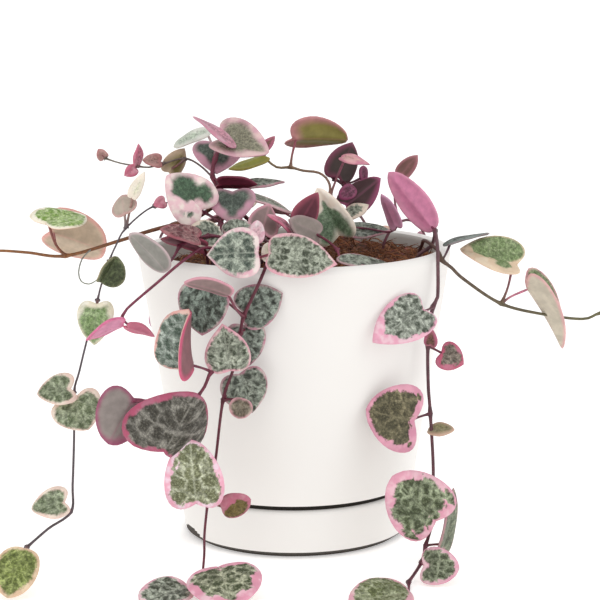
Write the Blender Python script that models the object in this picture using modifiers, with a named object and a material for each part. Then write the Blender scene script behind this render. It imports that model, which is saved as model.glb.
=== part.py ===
"""Potted string of hearts: a trailing plant with heart-shaped leaves, in a white pot on its saucer.

The tables are in millimetres from the centre of the saucer's underside: x to the right, y to the
back, z up. A stem's route and each leaf's place are chosen by hand at the front and sides, and the
stems at the back follow a rule with seeded draws.
"""

import math
import random

import bmesh
import bpy
from mathutils import Matrix, Vector

MM = 0.001
SEED = 11

# Pot: an open ceramic cone whose foot stands inside the saucer.
POT_HEIGHT = 93.0
POT_RIM_RADIUS = 50.0
POT_SEAM_RADIUS = 38.4
POT_SEAM_HEIGHT = 17.0
POT_FOOT_RADIUS = 32.4
POT_WALL = 4.4
POT_FLOOR = 5.0
DRAIN_RADIUS = 5.0
ROUND_STEPS = 36

# Saucer: the same taper carried on downwards, with a small recessed foot.
SAUCER_HEIGHT = 15.4
SAUCER_TOP_RADIUS = 38.0
SAUCER_BASE_RADIUS = 36.2
SAUCER_FOOT_RADIUS = 34.5
SAUCER_FOOT_HEIGHT = 1.0
SAUCER_WALL = 2.9
SAUCER_FLOOR = 4.0
GAP = 0.3

# Soil: coir mix that fills the pot, higher to the right and with a mound at the back.
SOIL_LEVEL = 87.0
SOIL_TILT = 0.04
SOIL_RIPPLE = 0.7
MOUND_HEIGHT = 3.0
MOUND_CENTRE = (8.0, 38.0)
MOUND_SPREAD = 11.0
SOIL_RINGS = (0.0, 14.0, 26.0, 36.0)
ROOT_BOTTOM = 74.0
HOLE_BOTTOM = 73.0
HOLE_DEPTH = 40.0
HOLE_CLEARANCE = 1.2
HOLE_SIDES = 6

# Leaf: half of the heart's outline, from the notch round the lobe to the tip, as shares of the
# width across and of the length along. The blade is one thick sheet, as on a succulent.
HALF_OUTLINE = ((0.0, 0.0), (0.32, -0.09), (0.5, 0.2), (0.36, 0.72), (0.0, 1.0))
BLADE_THICKNESS = 0.8
BLADE_ARCH = 0.12
PETIOLE_RADIUS = 0.55
PETIOLE_SINK = 1.4
STRAIGHT_PETIOLE = 7.0
STEM_STEP = 9.0

# Each stem: the leafy stem that it belongs to, its radius and its route. The first point of a
# stem that stands in the soil is where it comes out, and a side shoot starts inside its parent.
STEMS = {
    "left_reach": ("vine_left_reach", 0.9, [
        (-17, -6, 82), (-17, -7, 90), (-20, -14, 106), (-24, -16, 108), (-31, -16, 104),
        (-45.5, -16, 100), (-55, -16, 97), (-71.5, -16, 92.5), (-83.5, -15, 93.5), (-92.5, -14, 94),
        (-104.5, -12, 93.5)]),
    "left_fall": ("vine_left_fall", 0.6, [
        (-25, -12, 82), (-27, -13, 96), (-33, -16, 108), (-43, -20, 108.5), (-51.5, -26, 102.5),
        (-54.5, -28, 97.5), (-56.5, -30, 93), (-59, -33, 85.5), (-60, -34, 81.5), (-63.5, -38, 68.5),
        (-65.5, -40, 60.5), (-67, -42, 54.5), (-67, -45, 42), (-67.5, -48, 27.5), (-68, -50, 19.5),
        (-74.5, -54, 15.5), (-80.5, -58, 11)]),
    "left_short": ("vine_left_short", 0.7, [
        (-19, -27, 82), (-20, -29, 93), (-26.5, -38, 98), (-33, -44, 95), (-40.5, -46, 89),
        (-50, -47, 81), (-51.5, -47, 78)]),
    "front": ("vine_front", 0.8, [
        (-6, -28, 82), (-6, -29, 89), (-6, -34, 96), (-6, -41, 99.5), (-8, -49, 95), (-10.5, -54, 89.5),
        (-15, -55, 80), (-16, -55, 75), (-18, -54.5, 65), (-21.5, -54, 54.5), (-24, -53, 36.5),
        (-26, -54, 27), (-26.5, -55, 23.5), (-27.5, -57, 14.5), (-27.5, -61, 9), (-28, -69, 3)]),
    "front_side": ("vine_front", 0.6, [
        (-16.5, -55, 69.5), (-20.5, -58, 66), (-24.5, -60, 64.5), (-26.5, -62, 60.5), (-28.5, -64, 58)]),
    "right_fall": ("vine_right_fall", 0.8, [
        (38, -10, 82), (38.5, -10, 90), (43, -12, 94), (44, -14, 97.5), (44, -16.5, 99.5),
        (44, -22, 98), (44, -26.5, 95.5), (44, -28, 91.5), (44, -27.5, 80.5), (42.5, -28, 77.5),
        (41, -29, 65.5), (41, -31, 53.5), (41.5, -33, 45), (42, -40, 27.5), (40.5, -47, 12.5),
        (39, -50, 8), (37.5, -54, 4), (33, -65, 1.5)]),
    "right_reach": ("vine_right_reach", 0.8, [
        (38.5, -4, 82), (39.5, -4.5, 90), (40.5, -8, 94), (41, -13, 96), (44.5, -21.5, 94),
        (45.5, -24.5, 91.5), (48.5, -23.5, 89), (53, -20, 84.5), (65, -15, 76), (78.5, -12, 72),
        (91.5, -10, 70), (97.5, -10, 72), (111.5, -9, 74.5)]),
    "back_high": ("vine_back_high", 0.7, [
        (9, 4, 82), (10, 3, 95), (11.5, -2, 109), (11, 0, 113.5), (8, 2, 116), (3, 4, 116.5),
        (-1, 5, 117.5), (-5.5, 6, 117.5), (-9.5, 8, 120.5)]),
    "crown": ("crown", 1.0, [
        (-4, 2, 82), (-4, 1.5, 91), (-9, -3, 97), (-18.5, -9, 106.5), (-25.5, -8, 116), (-23, -8, 126)]),
    "crown_wisp": ("crown", 0.5, [
        (-22, -8, 111.5), (-28.5, -2, 118), (-34.5, 1, 121), (-41.5, 0, 119.5), (-46, -1, 118.5),
        (-49.5, -2, 119), (-55, -2, 120), (-59.5, -2, 121.5)]),
    "crown_front": ("crown", 0.8, [
        (-4, 1.5, 91), (-9, -14, 94), (-13, -26, 96.5), (-13.5, -38, 99.5), (-12, -48, 96)]),
    "crown_left": ("crown", 0.7, [
        (-9, -14, 94), (-20, -20, 98), (-22.5, -24, 103.5), (-27.5, -22, 106.5)]),
    "crown_low": ("crown", 0.7, [
        (-13, -26, 96.5), (-19, -30, 99), (-26, -34, 101), (-34.5, -37, 98.5)]),
    "crown_right": ("crown", 0.8, [
        (-4, 1.5, 91), (2, 12, 94.5), (14, 11, 99), (17, 5, 103), (18, 4, 107.5), (16, 5, 112),
        (12.5, 6, 113.5)]),
    "crown_far": ("crown", 0.6, [
        (2, 12, 94.5), (20, 10, 97), (31, 4, 96.5), (33.5, 5, 100), (32.5, 6, 107), (33.5, 8, 114.5)]),
    "crown_mid": ("crown", 0.6, [
        (-9, -14, 94), (0, -19, 96), (3.5, -22, 100.5), (9.5, -26, 98.5), (13, -34, 96.5)]),
}

# Each leaf: how far along its stem's route it grows, counted in route points, where the notch and
# the tip of its blade are, the way its upper side faces, its width, and how far its two halves
# are folded up at the midrib, in degrees: first the half at the left of a leaf whose tip points up
# and whose upper side is seen, then the other.
LEAVES = {
    "left_reach": [
        (7, (-77, -20, 103.5), (-66, -7, 106), (0, -1, 2.2), 17, (4, 6)),
        (7, (-78, -2, 98.5), (-60, -2, 92.5), (0, 1, 0.2), 18.5, (36, 5)),
        (10, (-107, -13, 95.5), (-117.5, -9, 98.5), (0, -1, 2), 10, (8, 12)),
        (10, (-107, -10, 91), (-114, -8, 84), (-1, -2, 1), 9, (10, 6))],
    "left_fall": [
        (4, (-51.5, -27, 106.5), (-52.5, -22, 111.5), (0, 1, 0.5), 8.5, (6, 10)),
        (4, (-49.5, -28, 112), (-45.5, -27, 120), (0, -1, 0.3), 4, (12, 10)),
        (6, (-58.5, -36, 87), (-53.5, -37, 95), (0.1, -1, 0.2), 11, (80, 5)),
        (8, (-60, -37, 81), (-61, -42, 69.5), (-0.2, -1, 0.1), 11.5, (8, 6)),
        (11, (-67.5, -45, 56.5), (-77.5, -47, 55.5), (0, -1, 0.4), 10.5, (25, 5)),
        (11, (-67, -45, 53), (-62.5, -48, 44.5), (0, -1, 0.3), 16, (8, 5)),
        (14, (-69.5, -53, 23.5), (-79.5, -54, 22), (0, -1, 0.5), 10.5, (25, 5)),
        (16, (-80.5, -64.5, 13), (-84, -76.5, 2.5), (0, -1, 1.1), 13.5, (6, 4))],
    "left_short": [
        (6, (-51.5, -48, 77), (-62.5, -52, 74), (0.1, 0.6, 0.9), 10, (10, 8)),
        (6, (-50, -46, 76), (-42, -43, 73), (0, 0.7, 0.9), 6, (10, 8))],
    "front": [
        (6, (-26, -58, 89.5), (-27.5, -61, 75.5), (-0.2, -1, 0.15), 15.7, (8, 6)),
        (6, (-18, -65, 88.5), (-31, -69, 94.5), (0, 0.5, 1), 10.5, (10, 8)),
        (6, (-15.5, -51.5, 80.5), (-3.5, -51.5, 86), (0.15, -1, 0.1), 13.5, (4, 6)),
        (7, (-19, -60, 64.5), (-21, -63, 78.5), (0, -1, 0), 13.5, (5, 6)),
        (7, (-15, -51, 76.5), (-13.5, -49.5, 63.5), (0.1, -1, 0), 12, (4, 6)),
        (9, (-16.5, -52, 62), (-12.5, -51, 49.5), (0.15, -1, 0.1), 14.5, (5, 7)),
        (9, (-15.5, -58, 56), (-17, -59, 50), (0, -1, 0.1), 7, (8, 10)),
        (12, (-29.5, -58, 24), (-31.5, -61, 43), (0, -1, 0.1), 17.6, (6, 8)),
        (12, (-22.5, -57, 22), (-14, -60, 25.5), (0, -1, 0.3), 7.5, (20, 8)),
        (15, (-23, -68, 8), (-18, -86, 4), (0, -1, 1.9), 22, (5, 6)),
        (15, (-31.5, -73, 3.5), (-45, -82, 3), (0, -0.5, 1.9), 15, (6, 8))],
    "front_side": [
        (2, (-30.5, -62, 65.5), (-31.5, -66, 83.5), (-0.42, -1, 0), 22, (5, 76)),
        (4, (-38.5, -67, 42), (-28.5, -71, 59.5), (0, -1, 0.1), 30.5, (4, 50)),
        (4, (-52, -60, 58.5), (-55.5, -62, 44), (-0.2, 1, 0.2), 17, (12, 22))],
    "right_fall": [
        (4, (44, -14, 99.5), (31, -6, 117), (0.2, 1, 0.3), 10, (8, 8)),
        (9, (39, -39.5, 79), (23.5, -48, 71.5), (-0.5, -1, 0.2), 15, (6, 8)),
        (10, (41.5, -32, 66), (41.5, -34, 71.5), (-0.3, -1, 0), 4.2, (10, 8)),
        (10, (45, -30, 63.5), (52, -31, 60), (0.2, -1, 0.1), 9, (8, 6)),
        (12, (36.5, -37, 43.5), (22, -42, 48), (-0.1, -1, 0.1), 21.5, (30, 4)),
        (12, (40.5, -34, 40), (48.5, -36, 41.5), (0, -0.4, 1), 6.5, (10, 6)),
        (14, (42, -52, 16), (29, -53, 30), (-0.1, -1, 0.2), 20.5, (6, 8)),
        (15, (44.5, -47, 6), (50, -43, 23.5), (1, -0.42, 0), 13, (8, 6)),
        (16, (37.5, -61.5, 5.5), (47.5, -65.5, 6), (0, -1, 0.5), 11.5, (6, 8)),
        (17, (32.5, -79, 3.5), (15, -86, 3.5), (0, -0.28, 1), 17.5, (5, 6))],
    "right_reach": [
        (5, (50, -17, 95.5), (61, -10, 98.5), (-0.25, -0.1, 1), 11, (6, 5)),
        (8, (68.5, -15, 86.5), (52.5, -13, 94.5), (0.1, -1, 0.9), 15, (28, 22)),
        (8, (72.5, -13, 85.5), (87.5, -10, 62), (0.8, -0.22, 0.45), 16, (64, 50)),
        (11, (99, -12, 70), (107, -16, 65.5), (0, -1, 0.4), 10, (10, 8)),
        (12, (113, -9, 76), (121, -8, 79), (0, -1, 1), 9, (10, 8)),
        (12, (112.5, -7, 73), (118.5, -4, 67.5), (0.5, -1, 0.3), 7, (10, 8))],
    "back_high": [
        (2, (15, -2, 121.5), (24, -6, 120.5), (0, -0.5, 1), 5, (8, 6)),
        (6, (-0.5, 6, 126), (17, 12, 125.5), (0, 1, 0.6), 16, (35, 5)),
        (8, (-9, 8, 120.5), (-20.5, 6, 115.5), (0, 0.25, -1), 8, (8, 8))],
    "crown": [
        (3.5, (-16, -4, 112.5), (-3, 0, 115), (0, -0.12, 1), 10, (8, 6)),
        (3.5, (-16.5, -16.5, 111.5), (0, -14, 107), (0, -0.15, 1), 10, (8, 6)),
        (4, (-23.5, -11, 114.5), (-11.5, -9, 115), (-0.1, 0.75, 1), 8, (8, 6)),
        (4.5, (-26.5, 3, 130), (-38.5, 1, 126), (-0.2, -0.7, 1), 6, (8, 6)),
        (4.5, (-24, -1, 126), (-24, -9, 118), (0, -1, 0.8), 16, (8, 10)),
        (5, (-22.5, -10, 128.5), (-8, -15, 125), (0, -1, 0.5), 16, (4, 38)),
        (5, (-21, -5, 127), (-30, -4, 136), (0.72, -0.3, 0.62), 9, (8, 8))],
    "crown_wisp": [
        (2, (-40, 2, 116.5), (-35, 4, 124), (0, 1, 0.2), 7, (10, 8)),
        (3, (-42, -1, 120.5), (-47.5, -3, 121.5), (0, -1, 0.6), 5, (10, 8)),
        (5, (-49.5, -3, 119.5), (-48, -4, 126), (1, -0.6, 0), 5, (10, 8)),
        (5, (-50, -3, 118.5), (-53.5, -4, 116), (0.5, -1, 0), 4, (10, 8)),
        (7, (-60, -2, 121.5), (-62, -2, 124.5), (0, -1, 0), 3.6, (10, 8))],
    "crown_left": [
        (2, (-19, -19.5, 113), (-19, -27, 104.5), (0, -1, 0.8), 14.5, (8, 6)),
        (2, (-22, -31.5, 100.5), (-32, -34.5, 102.5), (0, -1, 0.9), 10.5, (8, 6)),
        (2, (-21.5, -29, 101), (-13, -31, 104.5), (0, -0.9, 1), 8.5, (8, 6)),
        (3, (-23, -25, 111), (-42, -30, 112.5), (0, -1, 0.6), 16, (6, 4))],
    "crown_front": [
        (3, (-10, -27, 101), (-8, -20, 108), (-0.3, 1, -0.3), 10, (8, 6)),
        (3.5, (-10.5, -45, 99), (-10, -43, 106), (0, -1, 0.3), 4.5, (8, 6)),
        (4, (-7.5, -53, 98.5), (12.5, -54.5, 96), (0, -1, 0.55), 14, (6, 8)),
        (4, (-10.5, -52.5, 98.5), (-25.5, -54, 98.5), (0, -1, 0.4), 15.5, (8, 6))],
    "crown_mid": [
        (1, (-1, -24, 101.5), (-7, -29, 107.5), (0.4, -0.5, 1), 5, (8, 6)),
        (2, (14, -16, 98), (7.5, -19, 113), (-0.1, -1, 0.5), 16, (12, 52)),
        (2, (7.5, -23, 99.5), (-2.5, -27, 104.5), (0, 1, -0.6), 9, (8, 6)),
        (2, (1.5, -21, 102.5), (7.5, -20.5, 112.5), (0.25, 1, 0.35), 8, (8, 6)),
        (4, (13, -39, 94), (29.5, -33, 93), (0, -0.4, 1), 8, (6, 8))],
    "crown_low": [
        (2, (-28.5, -40.5, 101.5), (-39.5, -43, 105.5), (0, -0.6, 1), 8.5, (8, 6)),
        (2, (-27.5, -34.5, 97.5), (-40, -36, 102), (0.2, 0.75, 1), 9, (10, 8)),
        (3, (-38, -41, 91.5), (-48, -41, 104), (0.75, 0.75, 0.2), 11, (6, 4))],
    "crown_right": [
        (2, (18.5, 8, 96), (31.5, 10, 97.5), (0, -0.35, 1), 11, (6, 8)),
        (3, (17, -4, 103), (23.5, -3, 107), (0, -0.5, 1), 7, (8, 6)),
        (3.5, (16.5, 0, 105.5), (27.5, 3, 114), (0.2, 1, 0.2), 11, (0, 50)),
        (5, (22.5, 8, 112.5), (23, 8, 117.5), (0.5, -1, 0), 3.5, (8, 6)),
        (5, (19.5, -4, 112), (14.5, -6, 109), (0, -1, 0.3), 5, (8, 6)),
        (6, (14, 6, 114), (18.5, 7, 125.5), (-0.3, 1, 0), 11, (10, 8))],
    "crown_far": [
        (3, (33, 1, 98.5), (29, 2, 109.5), (0.8, 0.8, 0), 6, (8, 6)),
        (5, (34.5, 8, 114.5), (40, 8, 121), (0, 1, 0), 5.5, (8, 6))],
}

# Stems at the back: direction round the pot in degrees from +X, and the height each one ends at.
BACK_STEMS = ((34, 64), (62, 26), (91, 2), (120, 40), (148, 62))
BACK_RADIUS = 0.7
# Their way out of the soil and over the rim, as distance from the axis and height.
BACK_START = ((35.0, 82.0), (35.3, 89.0), (39.0, 95.0), (45.0, 97.5), (50.5, 95.0))
BACK_HANG = 53.5
BACK_HANG_HEIGHT = 88.0
BACK_TAPER = 1.2
BACK_SWAY = 1.5
BACK_NODE_SPACING = 21.0
BACK_FLOOR_HEIGHT = 8.0
BACK_FLOOR_REST = 1.2
BACK_FLOOR_RUN = 26.0
BACK_LEAF_LENGTH = (8.5, 10.5)
LEAF_WIDTH_SHARE = (1.0, 1.15)
PAIR_STALK = 3.5
PAIR_FOLDS = (8, 8)
# Short shoots of the crown over the soil at the back: direction, and which leaves they bear.
CROWN_SHOOTS = (76, 140)
SHOOT_FOOT = (-4.0, 2.0)
SHOOT_ROUTE = ((0.0, 91.0), (8.0, 94.0), (18.0, 99.0))
SHOOT_LEAVES = ((1, -1), (2, -1), (2, 1))
SHOOT_LEAF_LENGTH = (9.0, 11.0)
SHOOT_RADIUS = 0.6

WHITE_GLAZE = ((0.89, 0.87, 0.84), 0.45)
COIR = ((0.10, 0.05, 0.03), 0.95)
LEAF_GREEN = ((0.20, 0.24, 0.18), 0.5)


def along_route(points, at):
    """The point at a place counted in route points, on a smooth curve through all of them."""
    last = len(points) - 1
    i = min(int(at), last - 1)
    t = at - i
    near = [Vector(points[min(max(i + k, 0), last)]) for k in (-1, 0, 1, 2)]
    a, b, c, d = near
    return 0.5 * (2 * b + (c - a) * t + (2 * a - 5 * b + 4 * c - d) * t * t
                  + (3 * b - a - 3 * c + d) * t * t * t)


def smooth_route(points):
    route = []
    for i in range(len(points) - 1):
        span = (Vector(points[i + 1]) - Vector(points[i])).length
        steps = max(1, round(span / STEM_STEP))
        route += [along_route(points, i + k / steps) for k in range(steps)]
    return route + [Vector(points[-1])]


def soil_height(x, y):
    mound = math.exp(-((x - MOUND_CENTRE[0]) ** 2 + (y - MOUND_CENTRE[1]) ** 2) / (2 * MOUND_SPREAD ** 2))
    ripple = SOIL_RIPPLE * math.sin(0.31 * x + 0.5) * math.cos(0.27 * y)
    return SOIL_LEVEL + SOIL_TILT * x + MOUND_HEIGHT * mound + ripple


def material(name, colour, roughness):
    made = bpy.data.materials.new(name)
    made.use_nodes = True
    shader = made.node_tree.nodes["Principled BSDF"]
    shader.inputs["Base Color"].default_value = (*colour, 1.0)
    shader.inputs["Roughness"].default_value = roughness
    return made


def place(name, mesh, collection):
    made = bpy.data.objects.new(name, mesh)
    collection.objects.link(made)
    return made


def remove(made):
    bpy.data.objects.remove(made, do_unlink=True)


def evaluated_mesh(made):
    graph = bpy.context.evaluated_depsgraph_get()
    return bpy.data.meshes.new_from_object(made.evaluated_get(graph))


def turned(name, profile, collection, closed):
    """A profile of (radius, height) points turned about the Z axis, as a plain mesh."""
    mesh = bpy.data.meshes.new(name)
    points = [(r * MM, 0.0, z * MM) for r, z in profile]
    edges = [(i, i + 1) for i in range(len(points) - 1)]
    if closed:
        edges.append((len(points) - 1, 0))
    mesh.from_pydata(points, edges, [])
    made = place(name, mesh, collection)
    screw = made.modifiers.new("turn", "SCREW")
    screw.steps = ROUND_STEPS
    screw.render_steps = ROUND_STEPS
    screw.use_merge_vertices = True
    screw.merge_threshold = 0.00001
    made.data = evaluated_mesh(made)
    made.modifiers.clear()
    return made


def arc(centre, radius, start, end, count):
    """Points on an arc in the profile's plane, in degrees from straight out."""
    turns = [math.radians(start + (end - start) * i / (count - 1)) for i in range(count)]
    return [(centre[0] + radius * math.cos(a), centre[1] + radius * math.sin(a)) for a in turns]


def make_pot(collection):
    lip = POT_WALL / 2
    crest = (POT_RIM_RADIUS - lip, POT_HEIGHT - lip)
    floor = SAUCER_FLOOR + GAP
    inner_floor = floor + POT_FLOOR
    inner_foot = POT_FOOT_RADIUS - POT_WALL
    shoulder = POT_SEAM_RADIUS - POT_WALL
    profile = arc(crest, lip, 90, 0, 4)
    profile += [(POT_SEAM_RADIUS, POT_SEAM_HEIGHT), (POT_FOOT_RADIUS + 1.6, POT_SEAM_HEIGHT)]
    profile += [(POT_FOOT_RADIUS, floor + 1.0), (POT_FOOT_RADIUS - 1.0, floor)]
    profile += [(DRAIN_RADIUS, floor), (DRAIN_RADIUS, inner_floor), (inner_foot - 1.0, inner_floor)]
    profile += [(inner_foot, inner_floor + 1.0), (shoulder - 1.5, POT_SEAM_HEIGHT + POT_WALL)]
    profile += arc(crest, lip, 180, 120, 3)
    pot = turned("pot", profile, collection, closed=True)
    pot.data.materials.append(material("white_glaze_pot", *WHITE_GLAZE))
    return pot


def make_saucer(collection):
    lip = SAUCER_WALL / 2
    crest = (SAUCER_TOP_RADIUS - lip, SAUCER_HEIGHT - lip)
    inner = SAUCER_BASE_RADIUS - SAUCER_WALL
    profile = [(0.0, SAUCER_FLOOR), (inner, SAUCER_FLOOR)]
    profile += arc(crest, lip, 180, 0, 4)
    profile += [(SAUCER_BASE_RADIUS + 0.3, SAUCER_FOOT_HEIGHT + 1.0)]
    profile += [(SAUCER_BASE_RADIUS - 0.6, SAUCER_FOOT_HEIGHT), (SAUCER_FOOT_RADIUS, SAUCER_FOOT_HEIGHT)]
    profile += [(SAUCER_FOOT_RADIUS, 0.0), (0.0, 0.0)]
    saucer = turned("saucer", profile, collection, closed=False)
    saucer.data.materials.append(material("white_glaze_saucer", *WHITE_GLAZE))
    return saucer


def pot_inner_radius(height):
    """Radius of the pot's inside at a height above the shoulder."""
    low = POT_SEAM_HEIGHT + POT_WALL
    low_radius = POT_SEAM_RADIUS - POT_WALL - 1.5
    high = POT_HEIGHT - POT_WALL / 2
    high_radius = POT_RIM_RADIUS - POT_WALL
    return low_radius + (high_radius - low_radius) * (height - low) / (high - low)


def make_soil(collection, holes):
    """Soil turned as a filled cone, its top ring points lifted to the soil's height, then drilled."""
    edge = pot_inner_radius(SOIL_LEVEL) - 2 * GAP
    floor = SAUCER_FLOOR + POT_FLOOR + 2 * GAP
    low = POT_SEAM_HEIGHT + POT_WALL
    profile = [(r, SOIL_LEVEL) for r in SOIL_RINGS] + [(edge, SOIL_LEVEL)]
    profile += [(pot_inner_radius(low) - 2 * GAP, low), (POT_FOOT_RADIUS - POT_WALL - 2.0, floor + 1.0)]
    profile += [(POT_FOOT_RADIUS - POT_WALL - 3.0, floor), (0.0, floor)]
    soil = turned("soil", profile, collection, closed=False)
    for vertex in soil.data.vertices:
        x, y, z = vertex.co / MM
        if z > low + 1.0:
            vertex.co.z = soil_height(x, y) * MM
    cutters = bpy.data.collections.new("soil_holes")
    bpy.context.scene.collection.children.link(cutters)
    for x, y, radius in holes:
        bm = bmesh.new()
        middle = Vector((x, y, HOLE_BOTTOM + HOLE_DEPTH / 2)) * MM
        bmesh.ops.create_cone(bm, cap_ends=True, segments=HOLE_SIDES, radius1=radius * MM,
                              radius2=radius * MM, depth=HOLE_DEPTH * MM,
                              matrix=Matrix.Translation(middle))
        mesh = bpy.data.meshes.new("hole")
        bm.to_mesh(mesh)
        bm.free()
        place("hole", mesh, cutters)
    join(soil, cutters, "DIFFERENCE")
    soil.data.materials.append(material("coir_mix", *COIR))
    return soil


def join(made, collection, operation):
    """One Boolean on a collection, applied, and the collection's objects then removed.

    The exact solver leaves a stem that touches itself along an edge, so this uses the manifold one.
    """
    boolean = made.modifiers.new("join", "BOOLEAN")
    boolean.operand_type = "COLLECTION"
    boolean.collection = collection
    boolean.operation = operation
    boolean.solver = "MANIFOLD"
    made.data = evaluated_mesh(made)
    made.modifiers.clear()
    for used in list(collection.objects):
        remove(used)
    bpy.data.collections.remove(collection)


def tube_curve(name, points, radii, collection):
    """A four-sided tube along the points, thinner where a radius is smaller."""
    curve = bpy.data.curves.new(name, "CURVE")
    curve.dimensions = "3D"
    curve.bevel_depth = max(radii) * MM
    curve.bevel_resolution = 0
    curve.use_fill_caps = True
    spline = curve.splines.new("POLY")
    spline.points.add(len(points) - 1)
    for target, point, radius in zip(spline.points, points, radii):
        target.co = (*(Vector(point) * MM), 1.0)
        target.radius = radius / max(radii)
    return place(name, curve, collection)


def to_mesh(curve_object, collection):
    """The curve's tube as a closed mesh in the collection, and the curve removed."""
    mesh = evaluated_mesh(curve_object)
    bm = bmesh.new()
    bm.from_mesh(mesh)
    bmesh.ops.remove_doubles(bm, verts=bm.verts, dist=0.000001)
    bm.to_mesh(mesh)
    bm.free()
    name = curve_object.name
    remove(curve_object)
    return place(name, mesh, collection)


def blade_axes(notch, tip, facing):
    """The blade's axes: across, along the midrib, and out of its upper side."""
    length = (tip - notch).length
    along = (tip - notch) / length
    up = Vector(facing)
    up = (up - up.dot(along) * along).normalized()
    return length, along.cross(up), along, up


def make_blade(name, notch, tip, facing, width, folds, collection):
    """A heart-shaped blade: a grid bent to the outline, folded at the midrib, arched and thickened."""
    length, across, along, up = blade_axes(notch, tip, facing)
    rows = len(HALF_OUTLINE) - 1
    bm = bmesh.new()
    bmesh.ops.create_grid(bm, x_segments=2, y_segments=rows, size=1.0)
    for vertex in bm.verts:
        side = vertex.co.x
        row = round((vertex.co.y + 1.0) / 2.0 * rows)
        out, forward = HALF_OUTLINE[row]
        share = forward if side else row / rows
        reach = out * width * side
        lean = math.radians(folds[side > 0.0])
        bend = BLADE_ARCH * length * share * share
        point = notch + across * reach * math.cos(lean) + along * share * length
        vertex.co = (point + up * (abs(reach) * math.sin(lean) - bend)) * MM
    bmesh.ops.remove_doubles(bm, verts=bm.verts, dist=0.00001)
    bmesh.ops.triangulate(bm, faces=bm.faces)
    bmesh.ops.solidify(bm, geom=bm.faces[:], thickness=BLADE_THICKNESS * MM)
    bmesh.ops.recalc_face_normals(bm, faces=bm.faces)
    mesh = bpy.data.meshes.new(name)
    bm.to_mesh(mesh)
    bm.free()
    return place(name, mesh, collection)


def petiole_points(start, notch, tip, facing):
    """A short stalk from the stem to inside the blade at its notch, bowed where it is long."""
    _, _, along, up = blade_axes(notch, tip, facing)
    inside = notch + along * PETIOLE_SINK - up * BLADE_THICKNESS / 2
    if (notch - start).length < STRAIGHT_PETIOLE:
        return [start, inside]
    middle = (start + notch) / 2 - up * 0.12 * (notch - start).length
    return [start, middle, inside]


def ways(azimuth):
    """Out from the axis, sideways round it and up, for a direction in degrees from +X."""
    angle = math.radians(azimuth)
    out = Vector((math.cos(angle), math.sin(angle), 0.0))
    return out, Vector((-out.y, out.x, 0.0)), Vector((0.0, 0.0, 1.0))


def back_stem(number, azimuth, lowest):
    """Route and leaves of a stem that trails down the back, with leaves in pairs."""
    draw = random.Random(SEED + number)
    out, side, up = ways(azimuth)
    route = [out * reach + up * height for reach, height in BACK_START]
    hang = BACK_HANG + BACK_SWAY * (number % 2)
    height = BACK_HANG_HEIGHT
    sway = 0.0
    places = []
    while height > max(lowest, BACK_FLOOR_HEIGHT):
        route.append(out * hang + side * sway + up * height)
        places.append(len(route) - 1)
        height -= BACK_NODE_SPACING * draw.uniform(0.85, 1.1)
        sway += draw.uniform(-BACK_SWAY, BACK_SWAY)
        hang -= BACK_TAPER
    if lowest < BACK_FLOOR_HEIGHT:
        route.append(out * (hang + 2.0) + side * sway + up * 5.0)
        route.append(out * (hang + 8.0) + side * sway + up * BACK_FLOOR_REST)
        route.append(out * (hang + BACK_FLOOR_RUN) + side * (sway + 5.0) + up * BACK_FLOOR_REST)
        places.append(len(route) - 1)
    leaves = []
    for at in places:
        for hand in (-1, 1):
            length = draw.uniform(*BACK_LEAF_LENGTH)
            if route[at].z < BACK_FLOOR_HEIGHT:
                notch = route[at] + side * hand * PAIR_STALK + out * 2.5 + up * 1.5
                way = side * hand + out * 0.7
                facing = out * 0.3 + up
            else:
                notch = route[at] + side * hand * PAIR_STALK + out * 2.5 + up * draw.uniform(-1.5, 2.5)
                way = side * hand + out * 0.25 - up * draw.uniform(0.1, 0.7)
                facing = out + up * 0.35
            tip = notch + way.normalized() * length
            leaves.append((at, notch, tip, facing, length * draw.uniform(*LEAF_WIDTH_SHARE), PAIR_FOLDS))
    return route, leaves


def crown_shoot(number, azimuth):
    """A short shoot over the soil at the back of the crown, with three leaves."""
    draw = random.Random(SEED + 40 + number)
    out, side, up = ways(azimuth)
    foot = Vector((*SHOOT_FOOT, 0.0))
    route = [foot + out * reach + up * height for reach, height in SHOOT_ROUTE]
    leaves = []
    for at, hand in SHOOT_LEAVES:
        length = draw.uniform(*SHOOT_LEAF_LENGTH)
        notch = route[at] + side * hand * PAIR_STALK + out * 2.0 + up * draw.uniform(1.0, 3.0)
        way = side * hand + out * draw.uniform(0.3, 0.9) + up * draw.uniform(-0.1, 0.3)
        tip = notch + way.normalized() * length
        leaves.append((at, notch, tip, out * 0.5 + up, length * draw.uniform(*LEAF_WIDTH_SHARE),
                       PAIR_FOLDS))
    return route, leaves


def all_stems():
    """Every stem with its leaves: (name, node, radius, route, leaves), a node's first stem rooted."""
    found = [(name, node, radius, route, LEAVES.get(name, []))
             for name, (node, radius, route) in STEMS.items()]
    for number, (azimuth, lowest) in enumerate(BACK_STEMS):
        route, leaves = back_stem(number, azimuth, lowest)
        found.append((f"back_{number + 1}", f"vine_back_{number + 1}", BACK_RADIUS, route, leaves))
    for number, azimuth in enumerate(CROWN_SHOOTS):
        route, leaves = crown_shoot(number, azimuth)
        found.append((f"shoot_{number + 1}", "crown", SHOOT_RADIUS, route, leaves))
    return found


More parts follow.
